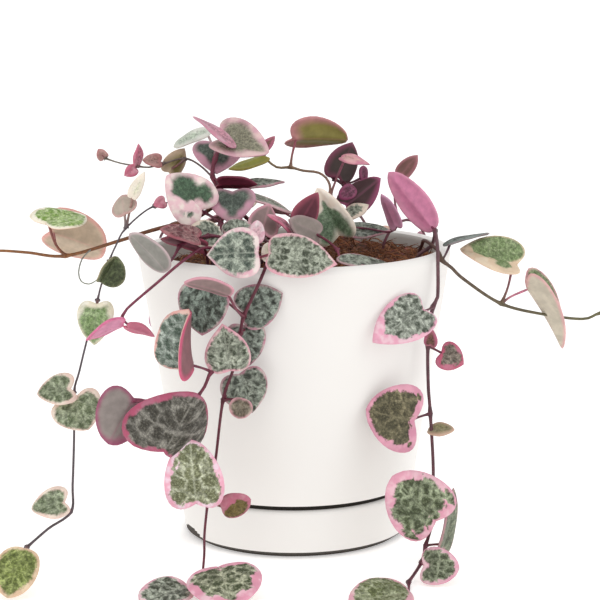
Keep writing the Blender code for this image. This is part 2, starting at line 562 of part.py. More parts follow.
def make_vine(node, stems, collection):
    """One leafy stem: its first stem stands in the soil, and all the rest is fused to it."""
    pieces = bpy.data.collections.new(node + "_pieces")
    bpy.context.scene.collection.children.link(pieces)
    curves = []
    for order, (name, _, radius, route, leaves) in enumerate(stems):
        points = smooth_route(route)
        if order == 0:
            points.insert(0, Vector((route[0][0], route[0][1], ROOT_BOTTOM)))
        radii = [radius * (1.0 - 0.35 * i / (len(points) - 1)) for i in range(len(points))]
        curves.append(tube_curve(name, points, radii, pieces))
        for number, (at, notch, tip, facing, width, folds) in enumerate(leaves):
            start = along_route(route, at)
            notch, tip = Vector(notch), Vector(tip)
            make_blade(f"{name}_blade_{number}", notch, tip, facing, width, folds, pieces)
            stalk = petiole_points(start, notch, tip, facing)
            radii = [PETIOLE_RADIUS] * (len(stalk) - 1) + [0.5 * PETIOLE_RADIUS]
            curves.append(tube_curve(f"{name}_petiole_{number}", stalk, radii, pieces))
    bpy.context.view_layer.update()
    meshes = [to_mesh(curve, pieces) for curve in curves]
    body = meshes[0]
    pieces.objects.unlink(body)
    collection.objects.link(body)
    join(body, pieces, "UNION")
    body.name = node
    body.data.name = node
    body.data.materials.clear()
    body.data.materials.append(material(node + "_green", *LEAF_GREEN))
    return body


def main():
    for old in list(bpy.data.objects):
        bpy.data.objects.remove(old, do_unlink=True)
    collection = bpy.data.collections.new("potted_string_of_hearts")
    bpy.context.scene.collection.children.link(collection)
    stems = all_stems()
    nodes = {}
    for stem in stems:
        nodes.setdefault(stem[1], []).append(stem)
    holes = [(group[0][3][0][0], group[0][3][0][1], group[0][2] + HOLE_CLEARANCE)
             for group in nodes.values()]
    make_pot(collection)
    make_saucer(collection)
    make_soil(collection, holes)
    for node, group in nodes.items():
        make_vine(node, group, collection)
    for made in collection.objects:
        made.data.shade_smooth()
        made.data.set_sharp_from_angle(angle=math.radians(40))


main()
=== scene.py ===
"""Potted string of hearts: the looks of a trailing plant in a white glazed pot on its saucer.

Lengths in the tables are in millimetres from the centre of the saucer's underside, with x to the
right, y to the back and z up. The routes and the leaf places are those of the solids, but for some
leaves that are moved by a few millimetres or turned, and for a few small ones that are added.
"""

import math
import random
from typing import NamedTuple

import bmesh
import bpy
import numpy as np
from mathutils import Matrix, Vector, noise


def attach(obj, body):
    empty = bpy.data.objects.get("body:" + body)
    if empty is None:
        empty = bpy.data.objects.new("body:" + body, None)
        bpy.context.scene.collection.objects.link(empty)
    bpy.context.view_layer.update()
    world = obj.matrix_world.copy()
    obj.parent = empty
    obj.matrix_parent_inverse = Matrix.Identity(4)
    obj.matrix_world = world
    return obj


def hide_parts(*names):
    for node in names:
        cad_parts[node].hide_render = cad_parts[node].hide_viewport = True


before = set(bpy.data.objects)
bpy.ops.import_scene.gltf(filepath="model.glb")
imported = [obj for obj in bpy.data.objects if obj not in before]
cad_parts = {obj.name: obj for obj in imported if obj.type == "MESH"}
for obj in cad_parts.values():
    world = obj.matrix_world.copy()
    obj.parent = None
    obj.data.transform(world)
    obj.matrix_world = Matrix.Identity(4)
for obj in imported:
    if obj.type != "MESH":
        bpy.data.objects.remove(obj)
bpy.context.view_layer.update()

# The view. The photograph was taken from in front of the pot with a long lens, a little above
# the rim and looking down at it, and held about half a degree off level.
MM = 0.001
EYE = (0.0, -0.6108, 0.1817)
LOOKING_DOWN = math.radians(9.9)
TURNED_RIGHT = math.radians(0.16)
ROLLED = math.radians(0.44)
FOCAL_LENGTH = 115.4
SENSOR_WIDTH = 36.0

ahead = Vector((math.sin(TURNED_RIGHT) * math.cos(LOOKING_DOWN),
                math.cos(TURNED_RIGHT) * math.cos(LOOKING_DOWN), -math.sin(LOOKING_DOWN)))
level = Vector((math.cos(TURNED_RIGHT), -math.sin(TURNED_RIGHT), 0.0))
right = level * math.cos(ROLLED) - level.cross(ahead) * math.sin(ROLLED)
turned_to = Matrix((right, right.cross(ahead), -ahead)).transposed()
camera_data = bpy.data.cameras.new("camera")
camera_data.lens = FOCAL_LENGTH
camera_data.sensor_width = SENSOR_WIDTH
camera_data.clip_start = 0.01
camera_data.clip_end = 100.0
camera = bpy.data.objects.new("camera", camera_data)
camera.matrix_world = Matrix.Translation(EYE) @ turned_to.to_4x4()
bpy.context.scene.collection.objects.link(camera)
bpy.context.scene.camera = camera


# Light and floor. A white room of even light, with one large soft lamp from the front left and a
# weaker one from the right. The floor is white paper that all but loses itself in the light.
# A lamp's row has its name, place and width in metres, power in watts and colour.
WORLD_LIGHT = 0.84
WORLD_SEEN = 1.1
LAMP_AIM = Vector((0.0, 0.0, 0.05))
LAMPS = (("key_lamp", (-0.6, -1.5, 1.2), 1.2, 4.2, "#fffaf4"),
         ("fill_lamp", (1.3, -0.9, 0.8), 1.0, 3.4, "#fbfcff"))
FLOOR_RADIUS = 14.0
FLOOR_SIDES = 64
PAPER_WHITE = "#fcfbfa"
PAPER_GLOW = 0.35


def paint(hex_colour):
    """An sRGB hex colour as the linear colour that a socket takes."""
    parts = [int(hex_colour[i:i + 2], 16) / 255 for i in (1, 3, 5)]
    return (*[c / 12.92 if c <= 0.04045 else ((c + 0.055) / 1.055) ** 2.4 for c in parts], 1.0)


def feed(node, inputs):
    """Sets a node's inputs, by name or in order, each to a value or to the socket that feeds it."""
    for socket, value in inputs.items() if isinstance(inputs, dict) else enumerate(inputs):
        if isinstance(value, bpy.types.NodeSocket):
            node.id_data.links.new(value, node.inputs[socket])
        else:
            node.inputs[socket].default_value = value


def add_node(tree, kind, inputs=(), output=0, **settings):
    """Adds a shader node with its settings and inputs, and gives the output that is asked for."""
    made = tree.nodes.new("ShaderNode" + kind)
    for name, value in settings.items():
        setattr(made, name, value)
    feed(made, inputs)
    return made.outputs[output] if made.outputs else None


def new_material(name):
    """A material with an empty node tree but for its shader, and the tree and the shader."""
    made = bpy.data.materials.new(name)
    made.use_nodes = True
    return made, made.node_tree, made.node_tree.nodes["Principled BSDF"]


def new_piece(name, bm, materials):
    """The finished piece from its bmesh: smooth, at the origin, and linked to the scene."""
    mesh = bpy.data.meshes.new(name)
    bm.to_mesh(mesh)
    bm.free()
    for used in materials:
        mesh.materials.append(used)
    mesh.shade_smooth()
    piece = bpy.data.objects.new(name, mesh)
    bpy.context.scene.collection.objects.link(piece)
    return piece


for name, place, width, power, tint in LAMPS:
    lamp = bpy.data.lights.new(name, "AREA")
    lamp.shape = "SQUARE"
    lamp.size = width
    lamp.energy = power
    lamp.color = paint(tint)[:3]
    made = bpy.data.objects.new(name, lamp)
    facing = (LAMP_AIM - Vector(place)).to_track_quat("-Z", "Y")
    made.matrix_world = Matrix.Translation(place) @ facing.to_matrix().to_4x4()
    made.visible_camera = False
    bpy.context.scene.collection.objects.link(made)

world = bpy.data.worlds.new("white_room")
bpy.context.scene.world = world
world.use_nodes = True
room = world.node_tree
room.nodes.clear()
seen = add_node(room, "LightPath", output="Is Camera Ray")
strength = add_node(room, "MapRange", {"Value": seen, "To Min": WORLD_LIGHT, "To Max": WORLD_SEEN})
walls = add_node(room, "Background", {"Color": paint("#ffffff"), "Strength": strength})
add_node(room, "OutputWorld", {"Surface": walls})
bpy.context.scene.view_settings.view_transform = "Standard"

# Matt white background paper: no gloss, and a faint tooth, nine bumps to the centimetre.
paper, tree, shader = new_material("matt_paper")
place = add_node(tree, "TexCoord", output="Object")
tooth = add_node(tree, "TexNoise", {"Vector": place, "Scale": 0.9 / MM, "Detail": 2.0})
feed(shader, {
    "Base Color": paint(PAPER_WHITE), "Roughness": 0.95,
    "Normal": add_node(tree, "Bump", {"Strength": 0.05, "Distance": 0.1 * MM, "Height": tooth}),
    "Emission Color": paint(PAPER_WHITE), "Emission Strength": PAPER_GLOW})
bm = bmesh.new()
bmesh.ops.create_circle(bm, cap_ends=True, segments=FLOOR_SIDES, radius=FLOOR_RADIUS)
floor = new_piece("floor", bm, [paper])


# Saucer. A shallow glazed stoneware dish whose wall carries the pot's taper on down to the table.
# It is thrown and dipped, and stands on a narrow recessed foot. Close rings low on its wall let
# the painted shadow at its left end there in a curve.
SAUCER_HEIGHT = 15.4
SAUCER_TOP_RADIUS = 38.0
SAUCER_BASE_RADIUS = 36.2
SAUCER_BELLY = 0.3
SAUCER_FOOT_RADIUS = 34.5
SAUCER_FOOT_HEIGHT = 1.0
SAUCER_WALL = 2.9
SAUCER_FLOOR = 4.0
SAUCER_HOLLOW = 1.5
SAUCER_HEEL = 1.2
FOOT_ROUNDING = 0.4
WALL_RINGS = 8
WALL_RINGS_TOP = 6.0
WALL_RING_STEP = 0.5
TURNING_STEPS = 144
WELD = 0.001 * MM
GLAZE = "#d3d1ce"
GLAZE_SHADE = "#cfccc8"
GLAZE_PAINTED_GLOW = 0.32
SHADED_CLAY_DARK = "#2c2926"
SHADED_CLAY_PALE = "#5c554e"
# Painted shadow on the saucer: a dark band just over the foot, and a patch at the left under its edge.
PAINTED_SHADOW_AT = (-33.4, -14.0)
PAINTED_SHADOW_REACH = 10.0
PAINTED_SHADOW_HEIGHT = 4.2
FOOT_SHADE_ABOVE_FOOT = 0.8
GLAZED_UNDERNEATH = 30.0


def arc(centre, radius, start, end, count):
    """Points on an arc of a profile, in degrees from straight out."""
    turns = [math.radians(start + (end - start) * i / (count - 1)) for i in range(count)]
    return [(centre[0] + radius * math.cos(a), centre[1] + radius * math.sin(a)) for a in turns]


def turned(profile, closed):
    """A bmesh turned from (radius, height) points about the pot's axis."""
    bm = bmesh.new()
    points = [bm.verts.new((r * MM, 0.0, z * MM)) for r, z in profile]
    following = points[1:] + points[:1] if closed else points[1:]
    edges = [bm.edges.new(pair) for pair in zip(points, following)]
    bmesh.ops.spin(bm, geom=points + edges, cent=(0, 0, 0), axis=(0, 0, 1), dvec=(0, 0, 0),
                   angle=math.tau, steps=TURNING_STEPS, use_merge=True, use_normal_flip=False,
                   use_duplicate=False)
    bmesh.ops.remove_doubles(bm, verts=bm.verts, dist=WELD)
    bmesh.ops.recalc_face_normals(bm, faces=bm.faces)
    return bm


def mottled(tree, place, grain, dark, pale):
    """Clouds, so many to the millimetre, and a colour that goes from dark to pale with them."""
    clouds = add_node(tree, "TexNoise", {"Vector": place, "Scale": grain / MM, "Detail": 3.0})
    tone = add_node(tree, "Mix", {0: clouds, 6: paint(dark), 7: paint(pale)}, 2, data_type="RGBA")
    return clouds, tone


# Satin white tin glaze on stoneware, fired: a soft broad gloss, a faint unevenness of tone, about
# 36 mm across, where it ran thicker, and pits just under 1 mm that only break up the highlight.
glaze, tree, shader = new_material("satin_white_glaze")
place = add_node(tree, "TexCoord", output="Object")
_, tone = mottled(tree, place, 0.028, GLAZE_SHADE, GLAZE)
pits, waves = [
    add_node(tree, "TexNoise", {"Vector": place, "Scale": grain / MM, "Detail": detail})
    for grain, detail in ((1.1, 2.0), (0.06, 1.0))]
relief = add_node(tree, "Math", [pits, 0.12, waves], operation="MULTIPLY_ADD")
# The glaze's glow is painted light: it brightens the whole pot evenly and so thins the plant's shade on it.
feed(shader, {
    "Base Color": tone, "IOR": 1.5,
    "Roughness": add_node(tree, "MapRange", {"Value": pits, "To Min": 0.36, "To Max": 0.48}),
    "Normal": add_node(tree, "Bump", {"Strength": 0.25, "Distance": 0.2 * MM, "Height": relief}),
    "Emission Color": paint(GLAZE), "Emission Strength": GLAZE_PAINTED_GLOW})

# Unglazed foot: the fired clay body, dry, with grog of about 0.7 mm, and painted far darker
# than clay as painted shade, for the shade in the pot's joint and under the saucer. It covers the
# feet, a band of painted contact shadow just above the saucer's foot, and a patch at the left.
clay, tree, shader = new_material("unglazed_clay_painted_shade")
grog, tone = mottled(tree, add_node(tree, "TexCoord", output="Object"), 1.4, SHADED_CLAY_DARK, SHADED_CLAY_PALE)
feed(shader, {
    "Base Color": tone, "Roughness": 0.9,
    "Normal": add_node(tree, "Bump", {"Strength": 0.5, "Distance": 0.2 * MM, "Height": grog})})

lip = SAUCER_WALL / 2
crest = (SAUCER_TOP_RADIUS - lip, SAUCER_HEIGHT - lip)
hollow = (SAUCER_BASE_RADIUS - SAUCER_WALL - SAUCER_HOLLOW, SAUCER_FLOOR + SAUCER_HOLLOW)
base = (SAUCER_BASE_RADIUS + SAUCER_BELLY, SAUCER_FOOT_HEIGHT + SAUCER_HEEL)
profile = [(0.0, SAUCER_FLOOR)] + arc(hollow, SAUCER_HOLLOW, 270, 350, 6)
profile += arc(crest, lip, 180, 0, 13)
for i in range(WALL_RINGS):
    height = WALL_RINGS_TOP - WALL_RING_STEP * i
    share = (height - base[1]) / (crest[1] - base[1])
    profile.append((base[0] + (SAUCER_TOP_RADIUS - base[0]) * share, height))
profile += arc((base[0] - SAUCER_HEEL, base[1]), SAUCER_HEEL, 0, -90, 6)
profile += [(SAUCER_FOOT_RADIUS, SAUCER_FOOT_HEIGHT)]
profile += arc((SAUCER_FOOT_RADIUS - FOOT_ROUNDING, FOOT_ROUNDING), FOOT_ROUNDING, 0, -90, 4)
profile += [(0.0, 0.0)]


def coated(piece, coat, is_coated):
    """Gives another coat to the faces whose centre, in millimetres, passes a test."""
    piece.data.materials.append(coat)
    for face in piece.data.polygons:
        if is_coated(*[c / MM for c in face.center]):
            face.material_index = len(piece.data.materials) - 1


def saucer_painted_shade(x, y, z):
    """Just over the foot, as painted contact shadow, and at the left up to a curve, as painted shadow."""
    if math.hypot(x, y) < GLAZED_UNDERNEATH:
        return False
    away = math.dist((x, y), PAINTED_SHADOW_AT) / PAINTED_SHADOW_REACH
    return z < max(SAUCER_FOOT_HEIGHT + FOOT_SHADE_ABOVE_FOOT, PAINTED_SHADOW_HEIGHT * (1.0 - away * away))


saucer = new_piece("glazed_saucer", turned(profile, closed=False), [glaze])
coated(saucer, clay, saucer_painted_shade)
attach(saucer, "root")
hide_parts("saucer")


# Pot. An open glazed stoneware cone with a rounded lip and a drain hole. Its narrow foot stands in
# the saucer, and its shoulder hides the saucer's lip but for a thin joint, in shade and painted
# darker still.
POT_HEIGHT = 93.0
POT_RIM_RADIUS = 50.0
POT_SEAM_RADIUS = 38.4
POT_SEAM_HEIGHT = 17.0
POT_FOOT_RADIUS = 32.4
POT_WALL = 4.4
POT_FLOOR = 5.0
DRAIN_RADIUS = 5.0
JOINT_GAP = 0.3
CORNER_ROUNDING = 0.8
SHOULDER_INSET = 0.7
SHOULDER_STEP = 1.6
INSIDE_NARROWING = 1.5
FLOOR_CHAMFER = 1.0
INNER_WALL_SHADED = "#c4c1bb"
INNER_WALL_SHADED_DARK = "#b4b1ab"
LIP_GLAZE_DEPTH = 0.6
JOINT_SHADE_ABOVE_SEAM = 0.2
JOINT_SHADE_INSIDE_SEAM = 0.5

lip = POT_WALL / 2
crest = (POT_RIM_RADIUS - lip, POT_HEIGHT - lip)
pot_bottom = SAUCER_FLOOR + JOINT_GAP
pot_inside = pot_bottom + POT_FLOOR
inner_foot = POT_FOOT_RADIUS - POT_WALL
shoulder = (POT_SEAM_RADIUS - SHOULDER_INSET, POT_SEAM_HEIGHT + CORNER_ROUNDING)
inner_seam = (POT_SEAM_RADIUS - POT_WALL - INSIDE_NARROWING, POT_SEAM_HEIGHT + POT_WALL)
profile = arc(crest, lip, 90, 0, 9)
profile += arc(shoulder, CORNER_ROUNDING, -8, -90, 6)
profile += [(POT_FOOT_RADIUS + SHOULDER_STEP, POT_SEAM_HEIGHT)]
foot_edge = (POT_FOOT_RADIUS - CORNER_ROUNDING, pot_bottom + CORNER_ROUNDING)
profile += arc(foot_edge, CORNER_ROUNDING, 0, -90, 5)
profile += [(DRAIN_RADIUS, pot_bottom), (DRAIN_RADIUS, pot_inside)]
profile += [(inner_foot - FLOOR_CHAMFER, pot_inside), (inner_foot, pot_inside + FLOOR_CHAMFER)]
profile += [inner_seam] + arc(crest, lip, 180, 100, 8)

# The same glaze inside the pot, painted grey as the shade inside the pot, in clouds of 25 mm.
inner_glaze, tree, shader = new_material("inner_wall_painted_shade")
place = add_node(tree, "TexCoord", output="Object")
_, tone = mottled(tree, place, 0.04, INNER_WALL_SHADED_DARK, INNER_WALL_SHADED)
feed(shader, {"Base Color": tone, "Roughness": 0.5})


def pot_is_inside(x, y, z):
    """Below the lip and nearer the axis than the middle of the wall."""
    slope = (POT_RIM_RADIUS - POT_SEAM_RADIUS) / (POT_HEIGHT - POT_SEAM_HEIGHT)
    outside = POT_SEAM_RADIUS + slope * (z - POT_SEAM_HEIGHT)
    return (POT_SEAM_HEIGHT < z < POT_HEIGHT - LIP_GLAZE_DEPTH
            and math.hypot(x, y) < outside - POT_WALL / 2)


def pot_joint_painted_shade(x, y, z):
    """The foot and the shoulder's underside in the joint: bare clay, painted dark as shade."""
    return z < POT_SEAM_HEIGHT + JOINT_SHADE_ABOVE_SEAM and math.hypot(x, y) < POT_SEAM_RADIUS - JOINT_SHADE_INSIDE_SEAM


pot = new_piece("glazed_pot", turned(profile, closed=True), [glaze])
coated(pot, inner_glaze, pot_is_inside)
coated(pot, clay, pot_joint_painted_shade)
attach(pot, "root")
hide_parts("pot")


# Potting mix. Coarse coir with bark dust, filled almost to the rim, higher on the right, and
# pushed up into a small mound at the back.
SOIL_LEVEL = 87.0
SOIL_TILT = 0.04
SOIL_RIPPLE = 0.7
RIPPLE_X = 0.31
RIPPLE_Y = 0.27
RIPPLE_START = 0.5
MOUND_HEIGHT = 3.0
MOUND_CENTRE = (8.0, 38.0)
MOUND_SPREAD = 11.0
SOIL_BOTTOM = SAUCER_FLOOR + POT_FLOOR + 2 * JOINT_GAP
SOIL_GAP = 0.1
SOIL_TAPER = 3.0
SOIL_CRUST = 1.0
CLOD_HEIGHT = 1.6
CLOD_WIDTH = 5.0
CLOD_LAYER = 3.0
GRAIN_HEIGHT = 0.5
GRAIN_WIDTH = 1.4
GRAIN_LAYER = 8.0
RING_WIDTH = 1.2
COIR_DARK = (0.30, "#3a2016")
COIR_BROWN = (0.5, "#6a3d2b")
COIR_PALE = (0.72, "#9c6a4c")


def soil_height(x, y):
    """The mix's surface without its clods: a tilt, a ripple and the mound."""
    mound = math.exp(-((x - MOUND_CENTRE[0]) ** 2 + (y - MOUND_CENTRE[1]) ** 2) / (2 * MOUND_SPREAD ** 2))
    ripple = SOIL_RIPPLE * math.sin(RIPPLE_X * x + RIPPLE_START) * math.cos(RIPPLE_Y * y)
    return SOIL_LEVEL + SOIL_TILT * x + MOUND_HEIGHT * mound + ripple


def rough_height(x, y):
    """The mix's surface with its clods and grains, each from its own layer of noise."""
    clods = noise.noise(Vector((x / CLOD_WIDTH, y / CLOD_WIDTH, CLOD_LAYER)))
    grains = noise.noise(Vector((x / GRAIN_WIDTH, y / GRAIN_WIDTH, GRAIN_LAYER)))
    return soil_height(x, y) + CLOD_HEIGHT * clods + GRAIN_HEIGHT * grains


def pot_inner_radius(height):
    """Radius of the pot's inside at a height above the shoulder."""
    share = (height - inner_seam[1]) / (POT_HEIGHT - POT_WALL / 2 - inner_seam[1])
    return inner_seam[0] + (POT_RIM_RADIUS - POT_WALL - inner_seam[0]) * share


# Coir and bark dust, damp: matt, dark brown with paler and redder grains of about 1 mm.
coir, tree, shader = new_material("damp_coir_mix")
place = add_node(tree, "TexCoord", output="Object")
strands = add_node(tree, "TexNoise", {"Vector": place, "Scale": 0.52 / MM, "Detail": 5.0})
grains = add_node(tree, "TexVoronoi", {"Vector": place, "Scale": 0.9 / MM}, "Color")
shades = add_node(tree, "ValToRGB", {"Fac": strands})
ramp = shades.node.color_ramp
for end, (at, tint) in zip(ramp.elements, (COIR_DARK, COIR_PALE)):
    end.position = at
    end.color = paint(tint)
ramp.elements.new(COIR_BROWN[0]).color = paint(COIR_BROWN[1])
mixed = add_node(tree, "Mix", {0: 0.35, 6: shades, 7: grains}, 2,
                 data_type="RGBA", blend_type="SOFT_LIGHT")
feed(shader, {
    "Base Color": mixed, "Roughness": 0.95,
    "Normal": add_node(tree, "Bump", {"Strength": 0.8, "Distance": 0.8 * MM, "Height": strands})})

edge = pot_inner_radius(SOIL_LEVEL) - SOIL_GAP
profile = [(RING_WIDTH * i, SOIL_LEVEL) for i in range(int(edge / RING_WIDTH))]
profile += [(edge, SOIL_LEVEL), (inner_seam[0] - SOIL_GAP, inner_seam[1])]
profile += [(inner_foot - SOIL_TAPER, SOIL_BOTTOM), (0.0, SOIL_BOTTOM)]
bm = turned(profile, closed=False)
for vertex in bm.verts:
    x, y, z = vertex.co / MM
    if z > SOIL_LEVEL - SOIL_CRUST:
        vertex.co.z = rough_height(x, y) * MM
soil = new_piece("potting_mix", bm, [coir])
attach(soil, "root")
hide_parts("soil")


# Loose coir. Fibres of the husk and crumbs of bark that lie all over the mix and stand up from it.
# A fibre is stiff, a little bowed and thinner at its tip, and none goes through the pot's wall.
FIBRES = 1500
FIBRE_SEED = 3
FIBRE_LENGTH = (2.5, 8.0)
FIBRE_RADIUS = (0.09, 0.2)
FIBRE_TIP = 0.4
FIBRE_RISE = 0.35
FIBRE_SWAY = (-0.6, 0.6)
FIBRE_BOW = (0.2, 1.0)
FIBRE_SINK = 0.2
FIBRE_DEPTH = 0.3
FIBRE_CLEARANCE = 0.6
FIBRE_INSET = 1.0
FIBRE_DARK = "#3a1a10"
FIBRE_PALE = "#a3683f"
FIBRE_PATCHES = 0.9
FIBRE_CONTRAST = 0.9
CRUMBS = 260
CRUMB_SIZE = (0.4, 1.3)
CRUMB_STRETCH = (0.8, 1.8)
CRUMB_FLATNESS = 0.6
CRUMB_TILT = (-0.6, 0.6)
CRUMB_RISE = 0.1
CRUMB_INSET = 1.5

# Dry coir fibre: thin, stiff and straw to red-brown, each a little different.
fibre_skin, tree, shader = new_material("dry_coir_fibre")
feed(shader, {"Base Color": add_node(tree, "Attribute", attribute_name="fibre_colour"), "Roughness": 0.8})


def new_tubes(name, resolution):
    """An empty curve that is drawn as tubes with closed ends, with radii in millimetres."""
    curve = bpy.data.curves.new(name, "CURVE")
    curve.dimensions = "3D"
    curve.bevel_depth = MM
    curve.bevel_resolution = resolution
    curve.use_fill_caps = True
    return curve


def add_tube(curve, points, radii):
    """One tube of the curve, through points in millimetres with a radius at each."""
    spline = curve.splines.new("POLY")
    spline.points.add(len(points) - 1)
    for target, point, radius in zip(spline.points, points, radii):
        target.co = (*(Vector(point) * MM), 1.0)
        target.radius = radius


def tubes_as_bmesh(curve):
    """The curve's finished tubes as a bmesh. The curve itself is removed."""
    made = bpy.data.objects.new("tubes", curve)
    bpy.context.scene.collection.objects.link(made)
    bpy.context.view_layer.update()
    mesh = bpy.data.meshes.new_from_object(made.evaluated_get(bpy.context.evaluated_depsgraph_get()))
    bpy.data.objects.remove(made, do_unlink=True)
    bpy.data.curves.remove(curve)
    bm = bmesh.new()
    bm.from_mesh(mesh)
    bpy.data.meshes.remove(mesh)
    bmesh.ops.remove_doubles(bm, verts=bm.verts, dist=WELD)
    return bm


def spot_on_mix(draw, reach, rise):
    """A place drawn at random on the mix, at most so far from its middle and so much above it."""
    away = reach * math.sqrt(draw.random())
    turn = draw.uniform(0.0, math.tau)
    x, y = away * math.cos(turn), away * math.sin(turn)
    return Vector((x, y, rough_height(x, y) + rise))


draw = random.Random(FIBRE_SEED)
curve = new_tubes("coir_fibres", 0)
clear = pot_inner_radius(SOIL_LEVEL) - FIBRE_CLEARANCE
for _ in range(FIBRES):
    foot = spot_on_mix(draw, edge - FIBRE_INSET, -FIBRE_SINK)
    rise = abs(draw.gauss(0.0, FIBRE_RISE))
    heading = draw.uniform(0.0, math.tau)
    way = Vector((math.cos(heading), math.sin(heading), rise)).normalized() * draw.uniform(*FIBRE_LENGTH)
    bend = Vector([draw.uniform(*limits) for limits in (FIBRE_SWAY, FIBRE_SWAY, FIBRE_BOW)])
    points = [foot, foot + way * 0.5 + bend, foot + way]
    for point in points:
        kept = clear / max(clear, math.hypot(point.x, point.y))
        point.x *= kept
        point.y *= kept
        point.z = max(point.z, soil_height(point.x, point.y) - FIBRE_DEPTH)
    thickness = draw.uniform(*FIBRE_RADIUS)
    add_tube(curve, points, [thickness, thickness, FIBRE_TIP * thickness])
bm = tubes_as_bmesh(curve)
for _ in range(CRUMBS):
    spot = Matrix.Translation(spot_on_mix(draw, edge - CRUMB_INSET, CRUMB_RISE) * MM)
    spin = Matrix.Rotation(draw.uniform(0.0, math.tau), 4, "Z")
    tilt = Matrix.Rotation(draw.uniform(*CRUMB_TILT), 4, "X")
    size = draw.uniform(*CRUMB_SIZE) * MM
    form = Matrix.Diagonal((size * draw.uniform(*CRUMB_STRETCH), size, size * CRUMB_FLATNESS, 1.0))
    bmesh.ops.create_icosphere(bm, subdivisions=1, radius=1.0, matrix=spot @ spin @ tilt @ form)
colour = bm.verts.layers.float_color.new("fibre_colour")
dark, pale = Vector(paint(FIBRE_DARK)), Vector(paint(FIBRE_PALE))
for vertex in bm.verts:
    shade = 0.5 + FIBRE_CONTRAST * noise.noise(vertex.co / MM * FIBRE_PATCHES)
    vertex[colour] = dark.lerp(pale, min(max(shade, 0.0), 1.0))
fibres = new_piece("coir_fibres", bm, [fibre_skin])
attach(fibres, "root")


# The plant's skins. A string of hearts has thick waxy leaves in pairs on a wiry stem. Cells below
# the skin make the pattern: green islands between silver veins, and a pink or cream margin.
# A half outline runs from the notch to the tip, as shares of the leaf's width and length.
SHAPES = {
    "heart": ((0, 0), (0.10, -0.04), (0.24, -0.075), (0.38, -0.035), (0.475, 0.10), (0.50, 0.29),
              (0.45, 0.52), (0.32, 0.74), (0.14, 0.905), (0, 1)),
    "deep": ((0, 0), (0.12, -0.09), (0.28, -0.14), (0.42, -0.06), (0.49, 0.12), (0.48, 0.35),
             (0.39, 0.60), (0.24, 0.82), (0.09, 0.96), (0, 1)),
    "oval": ((0, 0), (0.12, 0), (0.27, 0.04), (0.40, 0.14), (0.48, 0.30), (0.50, 0.48),
             (0.44, 0.68), (0.31, 0.86), (0.15, 0.955), (0, 1)),
    "pointed": ((0, 0), (0.13, -0.02), (0.28, -0.02), (0.41, 0.06), (0.485, 0.20), (0.50, 0.37),
                (0.44, 0.57), (0.30, 0.76), (0.12, 0.91), (0, 1.01)),
    "curled": ((0, 0), (0.14, -0.01), (0.30, -0.02), (0.43, 0.04), (0.50, 0.17), (0.50, 0.36),
               (0.44, 0.60), (0.36, 0.80), (0.22, 0.94), (0, 1)),
    "round": ((0, 0), (0.12, -0.05), (0.27, -0.07), (0.41, 0), (0.49, 0.16), (0.50, 0.38),
              (0.44, 0.61), (0.33, 0.80), (0.17, 0.945), (0, 1)),
    "blunt": ((0, 0), (0.12, -0.07), (0.28, -0.11), (0.42, -0.03), (0.49, 0.15), (0.50, 0.40),
              (0.46, 0.64), (0.35, 0.85), (0.18, 0.97), (0, 1)),
    "spear": ((0, 0), (0.16, -0.03), (0.33, 0), (0.45, 0.12), (0.50, 0.28), (0.46, 0.46),
              (0.36, 0.64), (0.23, 0.80), (0.10, 0.93), (0, 1)),
}

# The blade: where the columns of a half stand, its rows, and how it arches, domes, waves and curls.
ACROSS = (0.0, 0.16, 0.34, 0.54, 0.73, 0.87, 0.955, 1.0)
LEAF_ROWS = 18
RIM_POINTS = 6 * LEAF_ROWS
BLADE_THICKNESS = 0.8
BLADE_ARCH = 0.10
RIM_ROUNDING = 0.5
DOMING = 0.035
WAVE_HEIGHT = 0.25
WAVES = 2.3
WAVE_SHIFT = 0.2
CREASE = 1.0
CURL = 0.45
MIDRIB_RIDGE = 0.22
RIDGE_WIDTH = 0.9

# The leaf stalks, with their thickness along them, and the stems, which swell where leaves grow.
PETIOLE_RADIUS = 0.5
PETIOLE_THICKNESS = (1.9, 1.2, 0.85, 0.75, 0.72, 0.75, 0.85, 0.8, 0.5)
PETIOLE_SINK = 1.4
STRAIGHT_PETIOLE = 7.0
SHORT_PETIOLE_BOW = 0.05
LONG_PETIOLE_BOW = 0.12
ROOT_BOTTOM = 74.0
STEM_STEP = 1.6
STEM_RESOLUTION = 2
NODE_SWELLING = 0.6
NODE_REACH = 1.1
STALK_FADE = 5.0

# What a blade carries for its materials, and how the pattern lies on it.
UPPER_SIDE, UNDER_SIDE = 1, 2
PLACE_LAYERS = ("blade", "habit", "growth")
TINT_LAYERS = ("core", "vein", "margin", "pale", "under", "blush")
SIDE_VEIN_LEAN = 0.2
LEAF_NUMBERS = 31
SEED_STEP = 3.7
PATTERN_SHIFT = (5.3, 3.1)
ISLAND_WANDER = ((0.4, 2.2), (1.8, 0.55))
VEIN_WIDTH = 0.45
MARGIN_TEETH = 2.2
MARGIN_BLUR = 1.5
TILT_REACH = 2.0


class Colouring(NamedTuple):
    """How one kind of leaf is coloured. Cell and border are in millimetres, veil and soft are shares
    from 0 to 1, and tilt and tipward go from -1 to 1."""
    core: str
    vein: str
    margin: str
    pale: str
    under: str
    blush: str
    stalk: str
    cell: float = 2.8
    border: float = 1.6
    veil: float = 0.2
    soft: float = 0.08
    tilt: float = 0.0
    tipward: float = 0.0


